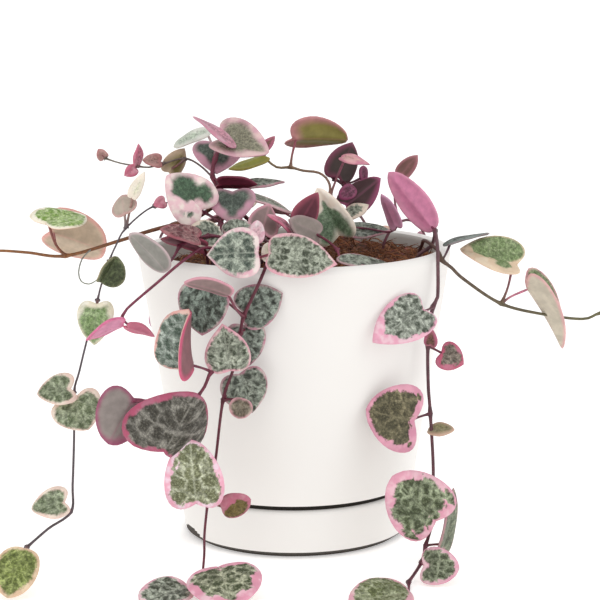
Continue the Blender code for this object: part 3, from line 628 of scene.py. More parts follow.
# Core is the green of the islands, vein the silver between them, margin and pale the two tones of
# the edge, under and blush the underside and its rim, stalk the leaf stalk. Cell is the size of an
# island and border the width of the margin. Veil is how much of the core silver covers, and soft
# how blurred the pattern is. Tilt widens the margin on the right half, tipward towards the tip.
COLOURINGS = {
    "lime_cream": Colouring("#789a40", "#c6d6a0", "#f0e6d0", "#f8f2e2", "#c3b291", "#e2b4a2", "#8a5048",
                            cell=2.6, border=0.9, veil=0.35, soft=0.1, tilt=-0.5),
    "lime_soft": Colouring("#77925c", "#aec294", "#ece4cc", "#f5f0e0", "#c3b291", "#e2b4a2", "#8a5048",
                           cell=3.4, border=0.7, veil=0.25, soft=0.4, tipward=-1.0),
    "beige": Colouring("#8f9a68", "#bcc49a", "#e8b4a6", "#f0c8c0", "#bca992", "#e0a49c", "#b87a80",
                       border=1.0, soft=0.4),
    "grey_blush": Colouring("#8f9a68", "#bcc49a", "#e8b4a6", "#f0c8c0", "#b4a698", "#c8a09c", "#a8908c",
                            border=0.4, soft=0.4),
    "cream": Colouring("#c4c8a4", "#dcdcc4", "#efe4d4", "#f3ebdf", "#e0d8c8", "#efe2d8", "#b08a80",
                       soft=0.8),
    "deep_green": Colouring("#434d30", "#66724e", "#7d8060", "#8e9070", "#8e8a6c", "#b0a080", "#7a4a56",
                            border=0.2, veil=0.2, soft=0.2),
    "green_cream": Colouring("#626e50", "#acb699", "#e8cdc0", "#eee0d0", "#d3c3a6", "#e6c0b0", "#a8808a",
                             cell=3.2, border=0.5, veil=0.3, soft=0.15, tipward=-0.7),
    "green_peach": Colouring("#626e32", "#a3af6b", "#dcbc9e", "#e8d2b2", "#c9b38e", "#e0b89c", "#a06a60",
                             cell=2.6, border=1.0, veil=0.3, soft=0.15),
    "pink_lilac": Colouring("#c98a9c", "#e2b0bc", "#dd7aa0", "#e8b4c8", "#d992b0", "#da6e98", "#a04068",
                            border=0.8, soft=0.5),
    "pink": Colouring("#bd7486", "#d8a0b0", "#c87088", "#dca4b2", "#c06a82", "#cc7088", "#a04062",
                      border=1.0, soft=0.6),
    "dark": Colouring("#2d332a", "#88958a", "#b88492", "#b0aaa2", "#857579", "#b08490", "#6e2a3c",
                      cell=3.0, border=0.45, veil=0.3),
    "mauve": Colouring("#6b7262", "#a8ad9f", "#dd9cae", "#cdb4b0", "#86706e", "#d89aa8", "#7e3a4c",
                       border=0.5),
    "dark_silver": Colouring("#2f352c", "#98a397", "#b88492", "#bcb4ac", "#857579", "#b08490", "#6e2a3c",
                             cell=2.6, border=0.4, veil=0.5),
    "silver_pink": Colouring("#444b3b", "#acb2a1", "#dba2ae", "#e2c8c4", "#b08d98", "#c890a0", "#8a3048",
                             cell=2.4, border=0.5, veil=0.5, tilt=-0.2),
    "silver_blush": Colouring("#474e42", "#b1b7aa", "#e2a2b8", "#ecc8d2", "#b08d98", "#d890a8",
                              "#6a2035", cell=3.4, border=1.4, veil=0.45, tipward=0.75),
    "brown": Colouring("#56493a", "#8f8775", "#d09aa2", "#b9a89c", "#7f6468", "#b08088", "#6a2438",
                       border=0.3, veil=0.3, soft=0.3),
    "olive_pink": Colouring("#6c7050", "#c4c8ae", "#e8a8bc", "#efd6e2", "#a09a70", "#d8a0b0", "#8a3a50",
                            cell=4.0, border=1.5, veil=0.08, soft=0.0, tilt=-0.25),
    "olive_band": Colouring("#66582c", "#7c6c44", "#b8687e", "#c08490", "#8a7a50", "#b87880", "#7a4a40",
                            cell=3.0, border=2.4, veil=0.1, soft=0.1, tilt=-1.0),
    "green_pink_wide": Colouring("#454e32", "#c6c9ad", "#e39cb2", "#efc8d2", "#a09a70", "#d8a0b0",
                                 "#8a3a50", cell=3.4, border=2.3, veil=0.2),
    "dark_pink": Colouring("#3f4536", "#b3b9a9", "#dca4b4", "#ead4d4", "#9b8c8c", "#c890a0", "#8a3a50",
                           cell=2.8, border=1.2, veil=0.3),
    "rose_fold": Colouring("#4a5a4d", "#aeb8ae", "#dfa49e", "#e8ccc0", "#855a60", "#cc5478", "#7e3a50",
                           cell=3.6, border=0.9, veil=0.3, tilt=0.3),
    "brown_pink": Colouring("#37342b", "#8a877e", "#a84c68", "#a8667a", "#8f8890", "#9a4060", "#6a3a48",
                            cell=5.2, border=0.9, veil=0.2, soft=0.15, tilt=-0.3),
    "lilac": Colouring("#c98a9c", "#e2b0bc", "#d592b4", "#eeb6c8", "#bf7f9c", "#d8a2c0", "#8a3055",
                       border=1.0, soft=0.5),
    "plum": Colouring("#6f6560", "#968c88", "#c0788e", "#b08a90", "#8f8580", "#9c4a6c", "#8a3a55",
                      border=1.6, tilt=0.5),
    "pink_back": Colouring("#c98a9c", "#e2b0bc", "#dd86a8", "#eeb6c8", "#cb7c9e", "#d890ac", "#8a3055",
                           border=1.2, tilt=0.6),
    "brown_rose": Colouring("#5e4034", "#80604e", "#b0607a", "#b87080", "#8a5a60", "#b06078", "#5a1c30",
                            cell=2.0, border=0.6, veil=0.1, soft=0.3),
    "rose": Colouring("#544b42", "#8c8276", "#b85872", "#b87084", "#9b5a70", "#b06078", "#6a2035",
                      cell=1.9, border=0.8, veil=0.35, tilt=0.3),
    "brown_olive": Colouring("#4e4a34", "#8c8466", "#d08ea4", "#dca0b2", "#8f7f74", "#c080a0", "#5a1c30",
                             cell=4.6, border=1.3, veil=0.05, soft=0.05, tilt=-0.1, tipward=-0.7),
    "beige_olive": Colouring("#84805c", "#a8a082", "#c8a490", "#bca890", "#a09070", "#c8a890", "#6a3a40",
                             border=0.6, soft=0.6),
    "green_pink_even": Colouring("#414a2e", "#9ba587", "#dc9cb0", "#e6bcc6", "#a09a70", "#d8a0b0",
                                 "#6a2035", cell=3.2, border=1.9, veil=0.25),
    "olive_under": Colouring("#5c6450", "#8a9078", "#c08c98", "#a89888", "#6c6c5a", "#a8848c", "#8a4a50",
                             border=0.5, soft=0.3),
    "green_pink": Colouring("#444c34", "#9ba389", "#dc9eb2", "#e8c6cc", "#a09a70", "#d8a0b0", "#8a3a50",
                            cell=2.6, border=1.2, veil=0.25),
    "green_pink_olive": Colouring("#5a623a", "#abb191", "#dca4b2", "#e8ccc8", "#a09a70", "#d8a0b0",
                                  "#7a3048", cell=2.8, border=1.3, veil=0.35, tilt=-0.3),
    "slate": Colouring("#424944", "#818b83", "#7c8480", "#909894", "#6c6668", "#8a7c80", "#5a3a48",
                       border=0.3, veil=0.3, soft=0.2),
    "green_cream_fold": Colouring("#6f8256", "#a2b086", "#dfc6aa", "#ead8be", "#d8c6ac", "#e8b8a8",
                                  "#8a5058", cell=3.6, border=2.3, veil=0.15, soft=0.3, tilt=-0.9),
    "cream_pink": Colouring("#6c7c54", "#96a07c", "#dca0ac", "#e6cabc", "#c5bcaa", "#dca8a8", "#d07c96",
                            border=0.6, soft=0.3),
    "pink_beige": Colouring("#cfa29a", "#dcb8ac", "#c88094", "#d8a8a8", "#b890a0", "#c88094", "#8a4a5c",
                            soft=0.8),
    "olive_rose": Colouring("#8a7c40", "#a5965c", "#c98a92", "#c9a090", "#8a8244", "#c4868a", "#9a4a58",
                            border=1.7, soft=0.4, tipward=-0.98),
    "brown_back": Colouring("#8a7c40", "#a5965c", "#c98a92", "#c9a090", "#76524c", "#b0747c", "#6a3040",
                            border=0.6, soft=0.4, tilt=-0.5),
    "olive_leaf": Colouring("#8a8a2e", "#a0a04c", "#a89a50", "#b0a860", "#87882e", "#9a9040", "#8a7a40",
                            border=0.7, soft=0.5),
    "silver_rose": Colouring("#606356", "#a9ada1", "#d8b0b6", "#e2ccc8", "#a08c90", "#d8a8b0", "#8a4a5c",
                             cell=2.2, border=0.8, veil=0.6, soft=0.25, tipward=-0.6),
    "silver": Colouring("#3c4237", "#9da597", "#c08c98", "#bcb8b0", "#8a7c80", "#b08490", "#7e3048",
                        cell=2.2, border=0.35, veil=0.5),
    "burgundy": Colouring("#521f32", "#7a4a54", "#7c3048", "#7f4650", "#5c1b30", "#7a2c44", "#6a2035",
                          border=0.5),
    "pale_sage": Colouring("#aebba8", "#ccd2c6", "#d8dad0", "#dfe0d8", "#c8ccc0", "#e0d4d0", "#b8a0a0",
                           border=1.2, soft=0.8),
    "soft_pink_low": Colouring("#48524a", "#6f7b6f", "#c08ea0", "#b8949c", "#a88a92", "#c890a0",
                               "#8a3a50", cell=4.0, border=1.9, veil=0.2, soft=0.6, tipward=0.4),
    "soft_grey": Colouring("#84826e", "#a4a08e", "#d0a0ac", "#dcc0bc", "#b0989a", "#c88ca0", "#8a3055",
                           cell=4.5, border=1.7, veil=0.2, soft=0.8),
    "pink_edge": Colouring("#c08a98", "#cc9cac", "#c48598", "#cca8b4", "#bd7c8e", "#c596a6", "#8a3055",
                           border=1.0, soft=0.9),
    "olive_beige": Colouring("#6e6834", "#8c8458", "#c0a48c", "#c8b49c", "#7c7440", "#c4ac94", "#8a5a58",
                             border=1.5, soft=0.4, tilt=0.6),
    "peach": Colouring("#8f6b62", "#a88884", "#b87a7c", "#c09a94", "#a67e78", "#b4767c", "#8a4a52",
                       border=0.6, soft=0.6),
    "silver_cream": Colouring("#50584c", "#a3a999", "#dcccbc", "#e6dccc", "#a8a098", "#d8b0b0",
                              "#8a3a50", cell=2.0, border=0.9, veil=0.5, tipward=0.7),
    "cream_green": Colouring("#465e48", "#5c7659", "#e6c0c6", "#efe2da", "#d8cfb8", "#e8b8c0", "#a04a6a",
                             cell=1.4, border=2.6, veil=0.0, soft=0.5, tilt=-0.3, tipward=-0.62),
    "cream_green_tip": Colouring("#667e62", "#98a890", "#efe2d2", "#f6eee2", "#d0c8ba", "#e8c8c0",
                                 "#8a3a50", cell=4.0, border=3.4, soft=0.6, tipward=0.85),
    "pink_white": Colouring("#dcb4bc", "#e8ccd0", "#e9b3c3", "#f6eeee", "#d8b0b8", "#e8b0c0", "#b0607c",
                            soft=0.8),
    "grey_pink": Colouring("#3e4c42", "#acb4a5", "#e0b0bc", "#e8dcd6", "#a88a92", "#d8a0b0", "#8a3a50",
                           cell=3.2, border=0.7, veil=0.45, tipward=-0.8),
    "taupe": Colouring("#8a8078", "#aaa29a", "#b8a0a0", "#c0b4ac", "#8e837c", "#a89090", "#8a4a5a",
                       border=0.5),
    "burgundy_edge": Colouring("#521f32", "#7a4a54", "#a0506c", "#a06070", "#5c2434", "#a04c60",
                               "#6a2035", border=0.8, tilt=0.6),
    "rose_mottle": Colouring("#6a383e", "#a07c7a", "#9c5660", "#a87a7c", "#744048", "#985460", "#6a2438",
                             cell=1.9, border=0.4, veil=0.4, soft=0.2),
    "grey_under": Colouring("#8a8a84", "#aaa9a2", "#d8b4b8", "#d8ccc8", "#8e8d86", "#cbb6b8", "#8a4a60",
                            border=0.4),
    "purple_edge": Colouring("#45262e", "#6a4a54", "#a0507a", "#8a4a62", "#43282c", "#a04c74", "#5a1c32",
                             border=0.8, tilt=-0.8),
    "purple": Colouring("#5e2440", "#7c4a60", "#80365a", "#8a4a66", "#5c2240", "#80365a", "#5a1c32",
                        border=0.6),
    "purple_dark": Colouring("#3a2c28", "#5a4a46", "#8a4a62", "#7a4a58", "#3b2d2a", "#7c3a54", "#5a1c32",
                             border=0.8, tilt=0.7),
    "brown_olive_back": Colouring("#5c5838", "#9c9570", "#e0a0b4", "#e6b8c0", "#8f7f74", "#c080a0",
                                  "#7a3048", cell=3.0, border=1.6, veil=0.2),
}


def leaf_places(tree):
    """The place on the blade, the leaf's habit (island size, margin width and pattern number) and
    growth (silver veil and softness), the distance from the midrib, and coordinates in millimetres
    for the pattern, which lean with the side veins."""
    place, habit, growth = [
        add_node(tree, "SeparateXYZ", [
            add_node(tree, "Attribute", output="Vector", attribute_name=layer)]).node.outputs
        for layer in PLACE_LAYERS]
    aside = add_node(tree, "Math", [place["X"]], operation="ABSOLUTE")
    leant = add_node(tree, "Math", [aside, -SIDE_VEIN_LEAN, place["Y"]], operation="MULTIPLY_ADD")
    out, up = [
        add_node(tree, "Math", [habit["Z"], shift, start], operation="MULTIPLY_ADD")
        for shift, start in zip(PATTERN_SHIFT, (aside, leant))]
    half = add_node(tree, "Math", [place["X"], 0.0], operation="GREATER_THAN")
    return place, habit, growth, aside, add_node(tree, "CombineXYZ", [out, up, half])


# Upper skin of the leaf: waxy, half matt, with the veins a little sunk. The attribute "blade" holds
# millimetres across, along and in from the rim, so that the pattern follows the leaf. A noise has
# its scale in bumps to the millimetre, then its detail and roughness.
skin, tree, shader = new_material("waxy_leaf_upper")
place, habit, growth, aside, flat = leaf_places(tree)
cell, border = habit["X"], habit["Y"]
veil, soft = growth["X"], growth["Y"]
mottle, broad, specks, patch, drift, pores = [
    add_node(tree, "TexNoise", {"Vector": flat, "Scale": scale, "Detail": detail, "Roughness": roughness})
    for scale, detail, roughness in ((0.9, 4.0, 0.7), (0.17, 1.0, 0.5), (1.35, 4.0, 0.8),
                                     (0.3, 2.0, 0.5), (0.4, 1.0, 0.5), (3.4, 2.0, 0.5))]
tints = {layer: add_node(tree, "Attribute", attribute_name=layer + "_colour")
         for layer in ("core", "vein", "margin", "pale")}

# Islands: cells of the size that the colouring gives, on coordinates that wander by about 1 mm.
warped = flat
for scale, shift in ISLAND_WANDER:
    wander = add_node(tree, "TexNoise", {"Vector": warped, "Scale": scale, "Detail": 2.0}, "Color")
    centred = add_node(tree, "VectorMath", [wander, (0.5, 0.5, 0.5)], operation="SUBTRACT")
    warped = add_node(tree, "VectorMath", [centred, (shift, shift, 0.0), warped],
                      operation="MULTIPLY_ADD")
size = add_node(tree, "Math", [1.0, cell], operation="DIVIDE")
scaled = add_node(tree, "VectorMath", {0: warped, "Scale": size}, operation="SCALE")
islands, cells = [
    add_node(tree, "TexVoronoi", {"Vector": scaled, "Scale": 1.0}, output,
             voronoi_dimensions="2D", feature=feature)
    for feature, output in (("DISTANCE_TO_EDGE", "Distance"), ("F1", "Color"))]
lot = add_node(tree, "SeparateColor", [cells])

# Veins: pale bands between the islands, ragged and of uneven strength, and the midrib. A silver
# veil widens them, more so on silver leaves, and fine flecks break up both colours. A smooth step
# has its value, where it starts and ends, and what it gives there.
worn = add_node(tree, "Math", [islands, VEIN_WIDTH], operation="SUBTRACT")
for wear, share in ((specks, 0.7), (mottle, 0.9), (patch, -0.7), (veil, -0.34)):
    worn = add_node(tree, "Math", [wear, share, worn], operation="MULTIPLY_ADD")
bands, uneven, flecks, midrib, shade, speckling = [
    add_node(tree, "MapRange", limits, interpolation_type="SMOOTHSTEP")
    for limits in ((worn, -0.06, 0.22, 1.0, 0.0), (drift, 0.36, 0.62, 0.4, 1.0),
                   (specks, 0.5, 0.7, 0.0, 0.4), (aside, 0.08, 0.5, 0.6, 0.0),
                   (lot, 0.0, 1.0, 0.88, 1.1), (specks, 0.36, 0.64, 0.52, 1.34))]
flecked = add_node(tree, "Math", [bands, uneven, flecks], operation="MULTIPLY_ADD")
silver = add_node(tree, "Math", [flecked, 1.0], operation="MINIMUM")
silver = add_node(tree, "Math", [silver, midrib], operation="MAXIMUM")
crisp = add_node(tree, "Math", [soft, -0.7, 1.0], operation="MULTIPLY_ADD")
shown_veins = add_node(tree, "Math", [silver, crisp], operation="MULTIPLY")
green = add_node(tree, "Mix", {0: shown_veins, 6: tints["core"], 7: tints["vein"]}, 2, data_type="RGBA")
green = add_node(tree, "HueSaturation", {"Color": green, "Value": shade})
green = add_node(tree, "HueSaturation", {"Color": green, "Value": speckling})

# The margin starts where the distance from the rim, changed island by island, falls short of the
# leaf's own margin width, so that the core ends in blocks. A soft pattern has it smoother.
jitter = add_node(tree, "Math", [lot, 0.5], operation="SUBTRACT")
jitter = add_node(tree, "Math", [jitter, border], operation="MULTIPLY")
ragged = add_node(tree, "Math", [mottle, 0.5], operation="SUBTRACT")
ragged = add_node(tree, "Math", [ragged, MARGIN_TEETH, jitter], operation="MULTIPLY_ADD")
smoothed = add_node(tree, "Math", [soft, -1.5, 1.0], operation="MULTIPLY_ADD")
smoothed = add_node(tree, "Math", [smoothed, 0.15], operation="MAXIMUM")
stepped = add_node(tree, "Math", [ragged, smoothed, place["Z"]], operation="MULTIPLY_ADD")
swelling, edge_patch, rimming, toning, waxing = [
    add_node(tree, "MapRange", limits, interpolation_type="SMOOTHSTEP")
    for limits in ((broad, 0.35, 0.65, 0.65, 1.35), (patch, 0.42, 0.62, 0.0, 0.9),
                   (place["Z"], 0.05, 0.45, 0.5, 0.0), (broad, 0.3, 0.7, 0.93, 1.06),
                   (mottle, 0.3, 0.7, 0.42, 0.62))]
width = add_node(tree, "Math", [border, swelling], operation="MULTIPLY")
past = add_node(tree, "Math", [stepped, width], operation="SUBTRACT")
start = add_node(tree, "Math", [soft, -MARGIN_BLUR, -0.15], operation="MULTIPLY_ADD")
end = add_node(tree, "Math", [soft, MARGIN_BLUR, 0.35], operation="MULTIPLY_ADD")
inside = add_node(tree, "MapRange", [past, start, end, 0.0, 1.0], interpolation_type="SMOOTHSTEP")
edging = add_node(tree, "Mix", {0: edge_patch, 6: tints["margin"], 7: tints["pale"]}, 2, data_type="RGBA")
coloured = add_node(tree, "Mix", {0: inside, 6: edging, 7: green}, 2, data_type="RGBA")
rimmed = add_node(tree, "Mix", {0: rimming, 6: coloured, 7: tints["margin"]}, 2, data_type="RGBA")
sunk = add_node(tree, "Math", [shown_veins, -0.6, pores], operation="MULTIPLY_ADD")
feed(shader, {
    "Base Color": add_node(tree, "HueSaturation", {"Color": rimmed, "Value": toning}),
    "Roughness": waxing, "IOR": 1.42,
    "Normal": add_node(tree, "Bump", {"Strength": 0.35, "Distance": 0.25 * MM, "Height": sunk})})

# Underside: smooth and matt, of one colour that turns to the blush at the rim and the midrib.
underside, tree, shader = new_material("matt_leaf_underside")
place, habit, _, aside, flat = leaf_places(tree)
cloud, pores = [
    add_node(tree, "TexNoise", {"Vector": flat, "Scale": scale, "Detail": detail})
    for scale, detail in ((0.4, 3.0), (4.0, 2.0))]
reach = add_node(tree, "Math", [cloud, place["Z"]], operation="ADD")
limit = add_node(tree, "Math", [habit["Y"], 1.6, 1.0], operation="MULTIPLY_ADD")
blushing, ribbing, toning = [
    add_node(tree, "MapRange", limits, interpolation_type="SMOOTHSTEP")
    for limits in ((reach, 0.5, limit, 0.95, 0.0), (aside, 0.1, 0.5, 0.22, 0.0),
                   (cloud, 0.3, 0.7, 0.88, 1.1))]
tinted, blush = [
    add_node(tree, "Attribute", attribute_name=layer + "_colour") for layer in ("under", "blush")]
for share in (blushing, ribbing):
    tinted = add_node(tree, "Mix", {0: share, 6: tinted, 7: blush}, 2, data_type="RGBA")
feed(shader, {
    "Base Color": add_node(tree, "HueSaturation", {"Color": tinted, "Value": toning}),
    "Roughness": 0.55,
    "Normal": add_node(tree, "Bump", {"Strength": 0.2, "Distance": 0.2 * MM, "Height": pores})})

# Stem and leaf stalk: a thin smooth rind, slightly glossy, with darker flecks of about 1.4 mm.
rind, tree, shader = new_material("smooth_stem_rind")
place = add_node(tree, "TexCoord", output="Object")
flecks = add_node(tree, "TexNoise", {"Vector": place, "Scale": 0.7 / MM, "Detail": 3.0})
own = add_node(tree, "Attribute", attribute_name="core_colour")
toning = add_node(tree, "MapRange", [flecks, 0.3, 0.7, 0.62, 1.02], interpolation_type="SMOOTHSTEP")
feed(shader, {
    "Base Color": add_node(tree, "HueSaturation", {"Color": own, "Value": toning}),
    "Roughness": 0.42,
    "Normal": add_node(tree, "Bump", {"Strength": 0.3, "Distance": 0.1 * MM, "Height": flecks})})


def along_route(points, at):
    """The point at a place counted in route points, on a smooth curve through all of them."""
    last = len(points) - 1
    i = min(int(at), last - 1)
    t = at - i
    a, b, c, d = [Vector(points[min(max(i + k, 0), last)]) for k in (-1, 0, 1, 2)]
    return 0.5 * (2 * b + (c - a) * t + (2 * a - 5 * b + 4 * c - d) * t * t
                  + (3 * b - a - 3 * c + d) * t * t * t)


def outline(shape, count):
    """A number of points and one more along a half outline, as shares of the width and length."""
    points = [(*point, 0.0) for point in SHAPES[shape]]
    return [along_route(points, i / count * (len(points) - 1)) for i in range(count + 1)]


def blade_axes(notch, tip, facing):
    """The blade's length, and its axes: across, along the midrib, and out of its upper side."""
    length = (tip - notch).length
    along = (tip - notch) / length
    up = Vector(facing)
    up = (up - up.dot(along) * along).normalized()
    return length, along.cross(up), along, up


def bent(reach, slope, turning):
    """How far out and up an arc gets that starts at a slope and turns on, and its last slope."""
    end = slope + turning * reach
    if abs(turning) < 0.0001:
        return reach * math.cos(slope), reach * math.sin(slope), end
    return (math.sin(end) - math.sin(slope)) / turning, (math.cos(slope) - math.cos(end)) / turning, end


def folded(x, lean, curl):
    """How far out and up a half of the blade gets at x, bent at its crease, and its slope there."""
    near = min(x, CREASE)
    run, rise, slope = bent(near, 0.0, lean / CREASE)
    more_run, more_rise, slope = bent(x - near, slope, curl)
    return run + more_run, rise + more_rise, slope


def half_thickness(sheet, x, share, rim):
    """How far a sheet lies from the blade's middle: nothing at the rim, more under the midrib."""
    roundness = min(rim / RIM_ROUNDING, 1.0)
    half = 0.5 * BLADE_THICKNESS * math.sqrt(1.0 - (1.0 - roundness) ** 2)
    if sheet < 0:
        ridge = max(0.0, 1.0 - x / RIDGE_WIDTH) * max(0.0, 1.0 - share)
        half += MIDRIB_RIDGE * ridge * roundness
    return half


def margin_width(colouring, hand, x, share):
    """The margin's width at a place, which may be wider on one half or towards one end."""
    tilted = 1.0 + colouring.tilt * hand * min(x / TILT_REACH, 1.0)
    return colouring.border * tilted * (1.0 + colouring.tipward * (2.0 * share - 1.0))


def add_blade(bm, notch, tip, facing, width, folds, look, shape, number):
    """A thick heart-shaped blade: two grids bent to the outline that meet in a rounded rim."""
    length, across, along, up = blade_axes(notch, tip, facing)
    halves = len(ACROSS) - 1
    rows = outline(shape, LEAF_ROWS)
    edge = np.array([(p.x * width, p.y * length) for p in outline(shape, RIM_POINTS)])
    colouring = COLOURINGS[look]
    seed = number * SEED_STEP
    vectors, colours = bm.verts.layers.float_vector, bm.verts.layers.float_color
    tints = [(colours[layer + "_colour"], paint(getattr(colouring, layer))) for layer in TINT_LAYERS]
    for sheet, side_material in ((1, UPPER_SIDE), (-1, UNDER_SIDE)):
        made = bmesh.ops.create_grid(bm, x_segments=2 * halves, y_segments=LEAF_ROWS, size=1.0)["verts"]
        for vertex in made:
            column = round((vertex.co.x + 1.0) * halves) - halves
            row = round((vertex.co.y + 1.0) / 2.0 * LEAF_ROWS)
            hand = -1.0 if column < 0 else 1.0
            side = ACROSS[abs(column)]
            out = rows[row].x
            x = out * width * side
            share = (1.0 - side) * row / LEAF_ROWS + side * rows[row].y
            y = share * length
            rim = 0.0
            if side < 1.0 and 0 < row < LEAF_ROWS:
                rim = float(np.sqrt(((edge - (x, y)) ** 2).sum(1).min()))
            lean = math.radians(folds[column > 0])
            curl = CURL / (0.5 * width) if shape == "curled" and column > 0 else 0.0
            run, rise, slope = folded(x, lean, curl)
            proud = sheet * half_thickness(sheet, x, share, rim) - 0.5 * BLADE_THICKNESS
            proud += DOMING * width * math.sin(math.pi * side) * 2.0 * out
            wave = math.sin(WAVES * math.pi * share + seed + column * WAVE_SHIFT)
            proud += WAVE_HEIGHT * side ** 3 * wave
            sideways = hand * (run - proud * math.sin(slope))
            lift = rise + proud * math.cos(slope) - BLADE_ARCH * length * share * share
            vertex.co = (notch + across * sideways + along * y + up * lift) * MM
            border = margin_width(colouring, hand, x, share)
            vertex[vectors["blade"]] = (hand * x, y, rim)
            vertex[vectors["habit"]] = (colouring.cell, border, seed)
            vertex[vectors["growth"]] = (colouring.veil, colouring.soft, 0.0)
            for layer, tint in tints:
                vertex[layer] = tint
        faces = {face for vertex in made for face in vertex.link_faces}
        for face in faces:
            face.material_index = side_material
        if sheet < 0:
            bmesh.ops.reverse_faces(bm, faces=list(faces))
        bmesh.ops.remove_doubles(bm, verts=made, dist=2 * WELD)


def petiole_points(start, notch, tip, facing):
    """A short stalk from the stem to inside the blade at its notch, bowed where it is long."""
    _, _, along, up = blade_axes(notch, tip, facing)
    inside = notch + along * PETIOLE_SINK - up * BLADE_THICKNESS / 2
    reach = (notch - start).length
    if reach < STRAIGHT_PETIOLE:
        return [start, (start + inside) / 2 - up * SHORT_PETIOLE_BOW * reach, inside]
    return [start, (start + notch) / 2 - up * LONG_PETIOLE_BOW * reach, inside]


def stem_line(route, radii, tints, leaves):
    """Points along a stem with a radius and a colour at each, swollen where leaves grow."""
    joints = [along_route(route, at) for at in sorted({leaf[0] for leaf in leaves})]
    first, last = Vector(paint(tints[0])), Vector(paint(tints[1]))
    points = []
    for i in range(len(route) - 1):
        steps = max(2, round((Vector(route[i + 1]) - Vector(route[i])).length / STEM_STEP))
        points += [along_route(route, i + k / steps) for k in range(steps)]
    points.append(Vector(route[-1]))
    thickness, colours = [], []
    for i, point in enumerate(points):
        share = i / (len(points) - 1)
        near = min([(point - joint).length for joint in joints], default=math.inf)
        swollen = 1.0 + NODE_SWELLING * math.exp(-(near / NODE_REACH) ** 2)
        thickness.append((radii[0] + (radii[1] - radii[0]) * share) * swollen)
        colours.append(first.lerp(last, share))
    return points, thickness, colours


def stem_piece(curve, line, paints):
    """A bmesh of stems and stalks from their tubes, with the colour of the nearest point."""
    bm = tubes_as_bmesh(curve)
    for layer in PLACE_LAYERS:
        bm.verts.layers.float_vector.new(layer)
    for layer in TINT_LAYERS:
        bm.verts.layers.float_color.new(layer + "_colour")
    core = bm.verts.layers.float_color["core_colour"]
    centres = np.array([tuple(point) for point in line])
    for vertex in bm.verts:
        nearest = int(((centres - np.array(vertex.co / MM)) ** 2).sum(1).argmin())
        vertex[core] = paints[nearest]
    return bm


def leafy_stem(node, stems):
    """One piece for a leafy stem: its stems and stalks as tubes, then a blade for each leaf. A stem
    has its radii and colours at root and tip, its route, and a row for each leaf: place on the
    route, notch, tip, facing, width, folds of the left and right half, colouring and shape."""
    curve = new_tubes(node, STEM_RESOLUTION)
    line, paints, blades = [], [], []
    for order, (radii, tints, route, leaves) in enumerate(stems):
        points, thickness, colours = stem_line(route, radii, tints, leaves)
        if order == 0:
            points.insert(0, Vector((route[0][0], route[0][1], ROOT_BOTTOM)))
            thickness.insert(0, thickness[0])
            colours.insert(0, colours[0])
        add_tube(curve, points, thickness)
        line += points
        paints += colours
        for number, (at, notch, tip, facing, width, folds, look, shape) in enumerate(leaves):
            notch, tip = Vector(notch), Vector(tip)
            blades.append((notch, tip, facing, width, folds, look, shape, LEAF_NUMBERS * order + number))
            start = along_route(route, at)
            own = colours[min(range(len(points)), key=lambda k: (points[k] - start).length)]
            bow = petiole_points(start, notch, tip, facing)
            count = len(PETIOLE_THICKNESS)
            stalk = [along_route(bow, 2.0 * k / (count - 1)) for k in range(count)]
            add_tube(curve, stalk, [PETIOLE_RADIUS * share for share in PETIOLE_THICKNESS])
            line += stalk
            stalk_tint = Vector(paint(COLOURINGS[look].stalk))
            paints += [own.lerp(stalk_tint, min(1.0, k / STALK_FADE)) for k in range(count)]
    bm = stem_piece(curve, line, paints)
    for blade in blades:
        add_blade(bm, *blade)
    piece = new_piece(node + "_leafy", bm, [rind, skin, underside])
    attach(piece, "root")
    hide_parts(node)


# Left reaching stem. A long shoot that leaves the crown at the left and hangs in the air beside the
# pot, brown and woody over its first half. Its big leaf shows its cream underside to the front.
leafy_stem("vine_left_reach", [
    ((0.8, 0.38), ("#5a2a22", "#96602c"), [
        (-17, -6, 82), (-17, -7, 90), (-20, -14, 106), (-24, -16, 108), (-31, -16, 104),
        (-45.5, -16, 100), (-55, -16, 97), (-71.5, -16, 92.5), (-83.5, -15, 93.5), (-92.5, -14, 94),
        (-104.5, -12, 93.5)], [
        (7, (-77, -20, 103.5), (-66, -7, 106), (0, -1, 2.2), 17, (4, 6), "lime_cream", "heart"),
        (7, (-78, -2, 98.5), (-60, -2, 92.5), (0, 1, 0.2), 18.5, (36, 5), "beige", "blunt"),
        (10, (-107, -13, 95.5), (-117.5, -9, 98.5), (0, -1, 2), 10, (8, 12), "lime_cream", "heart"),
        (10, (-107, -10, 91), (-114, -8, 84), (-1, -2, 1), 9, (10, 6), "lime_cream", "oval"),
    ]),
])


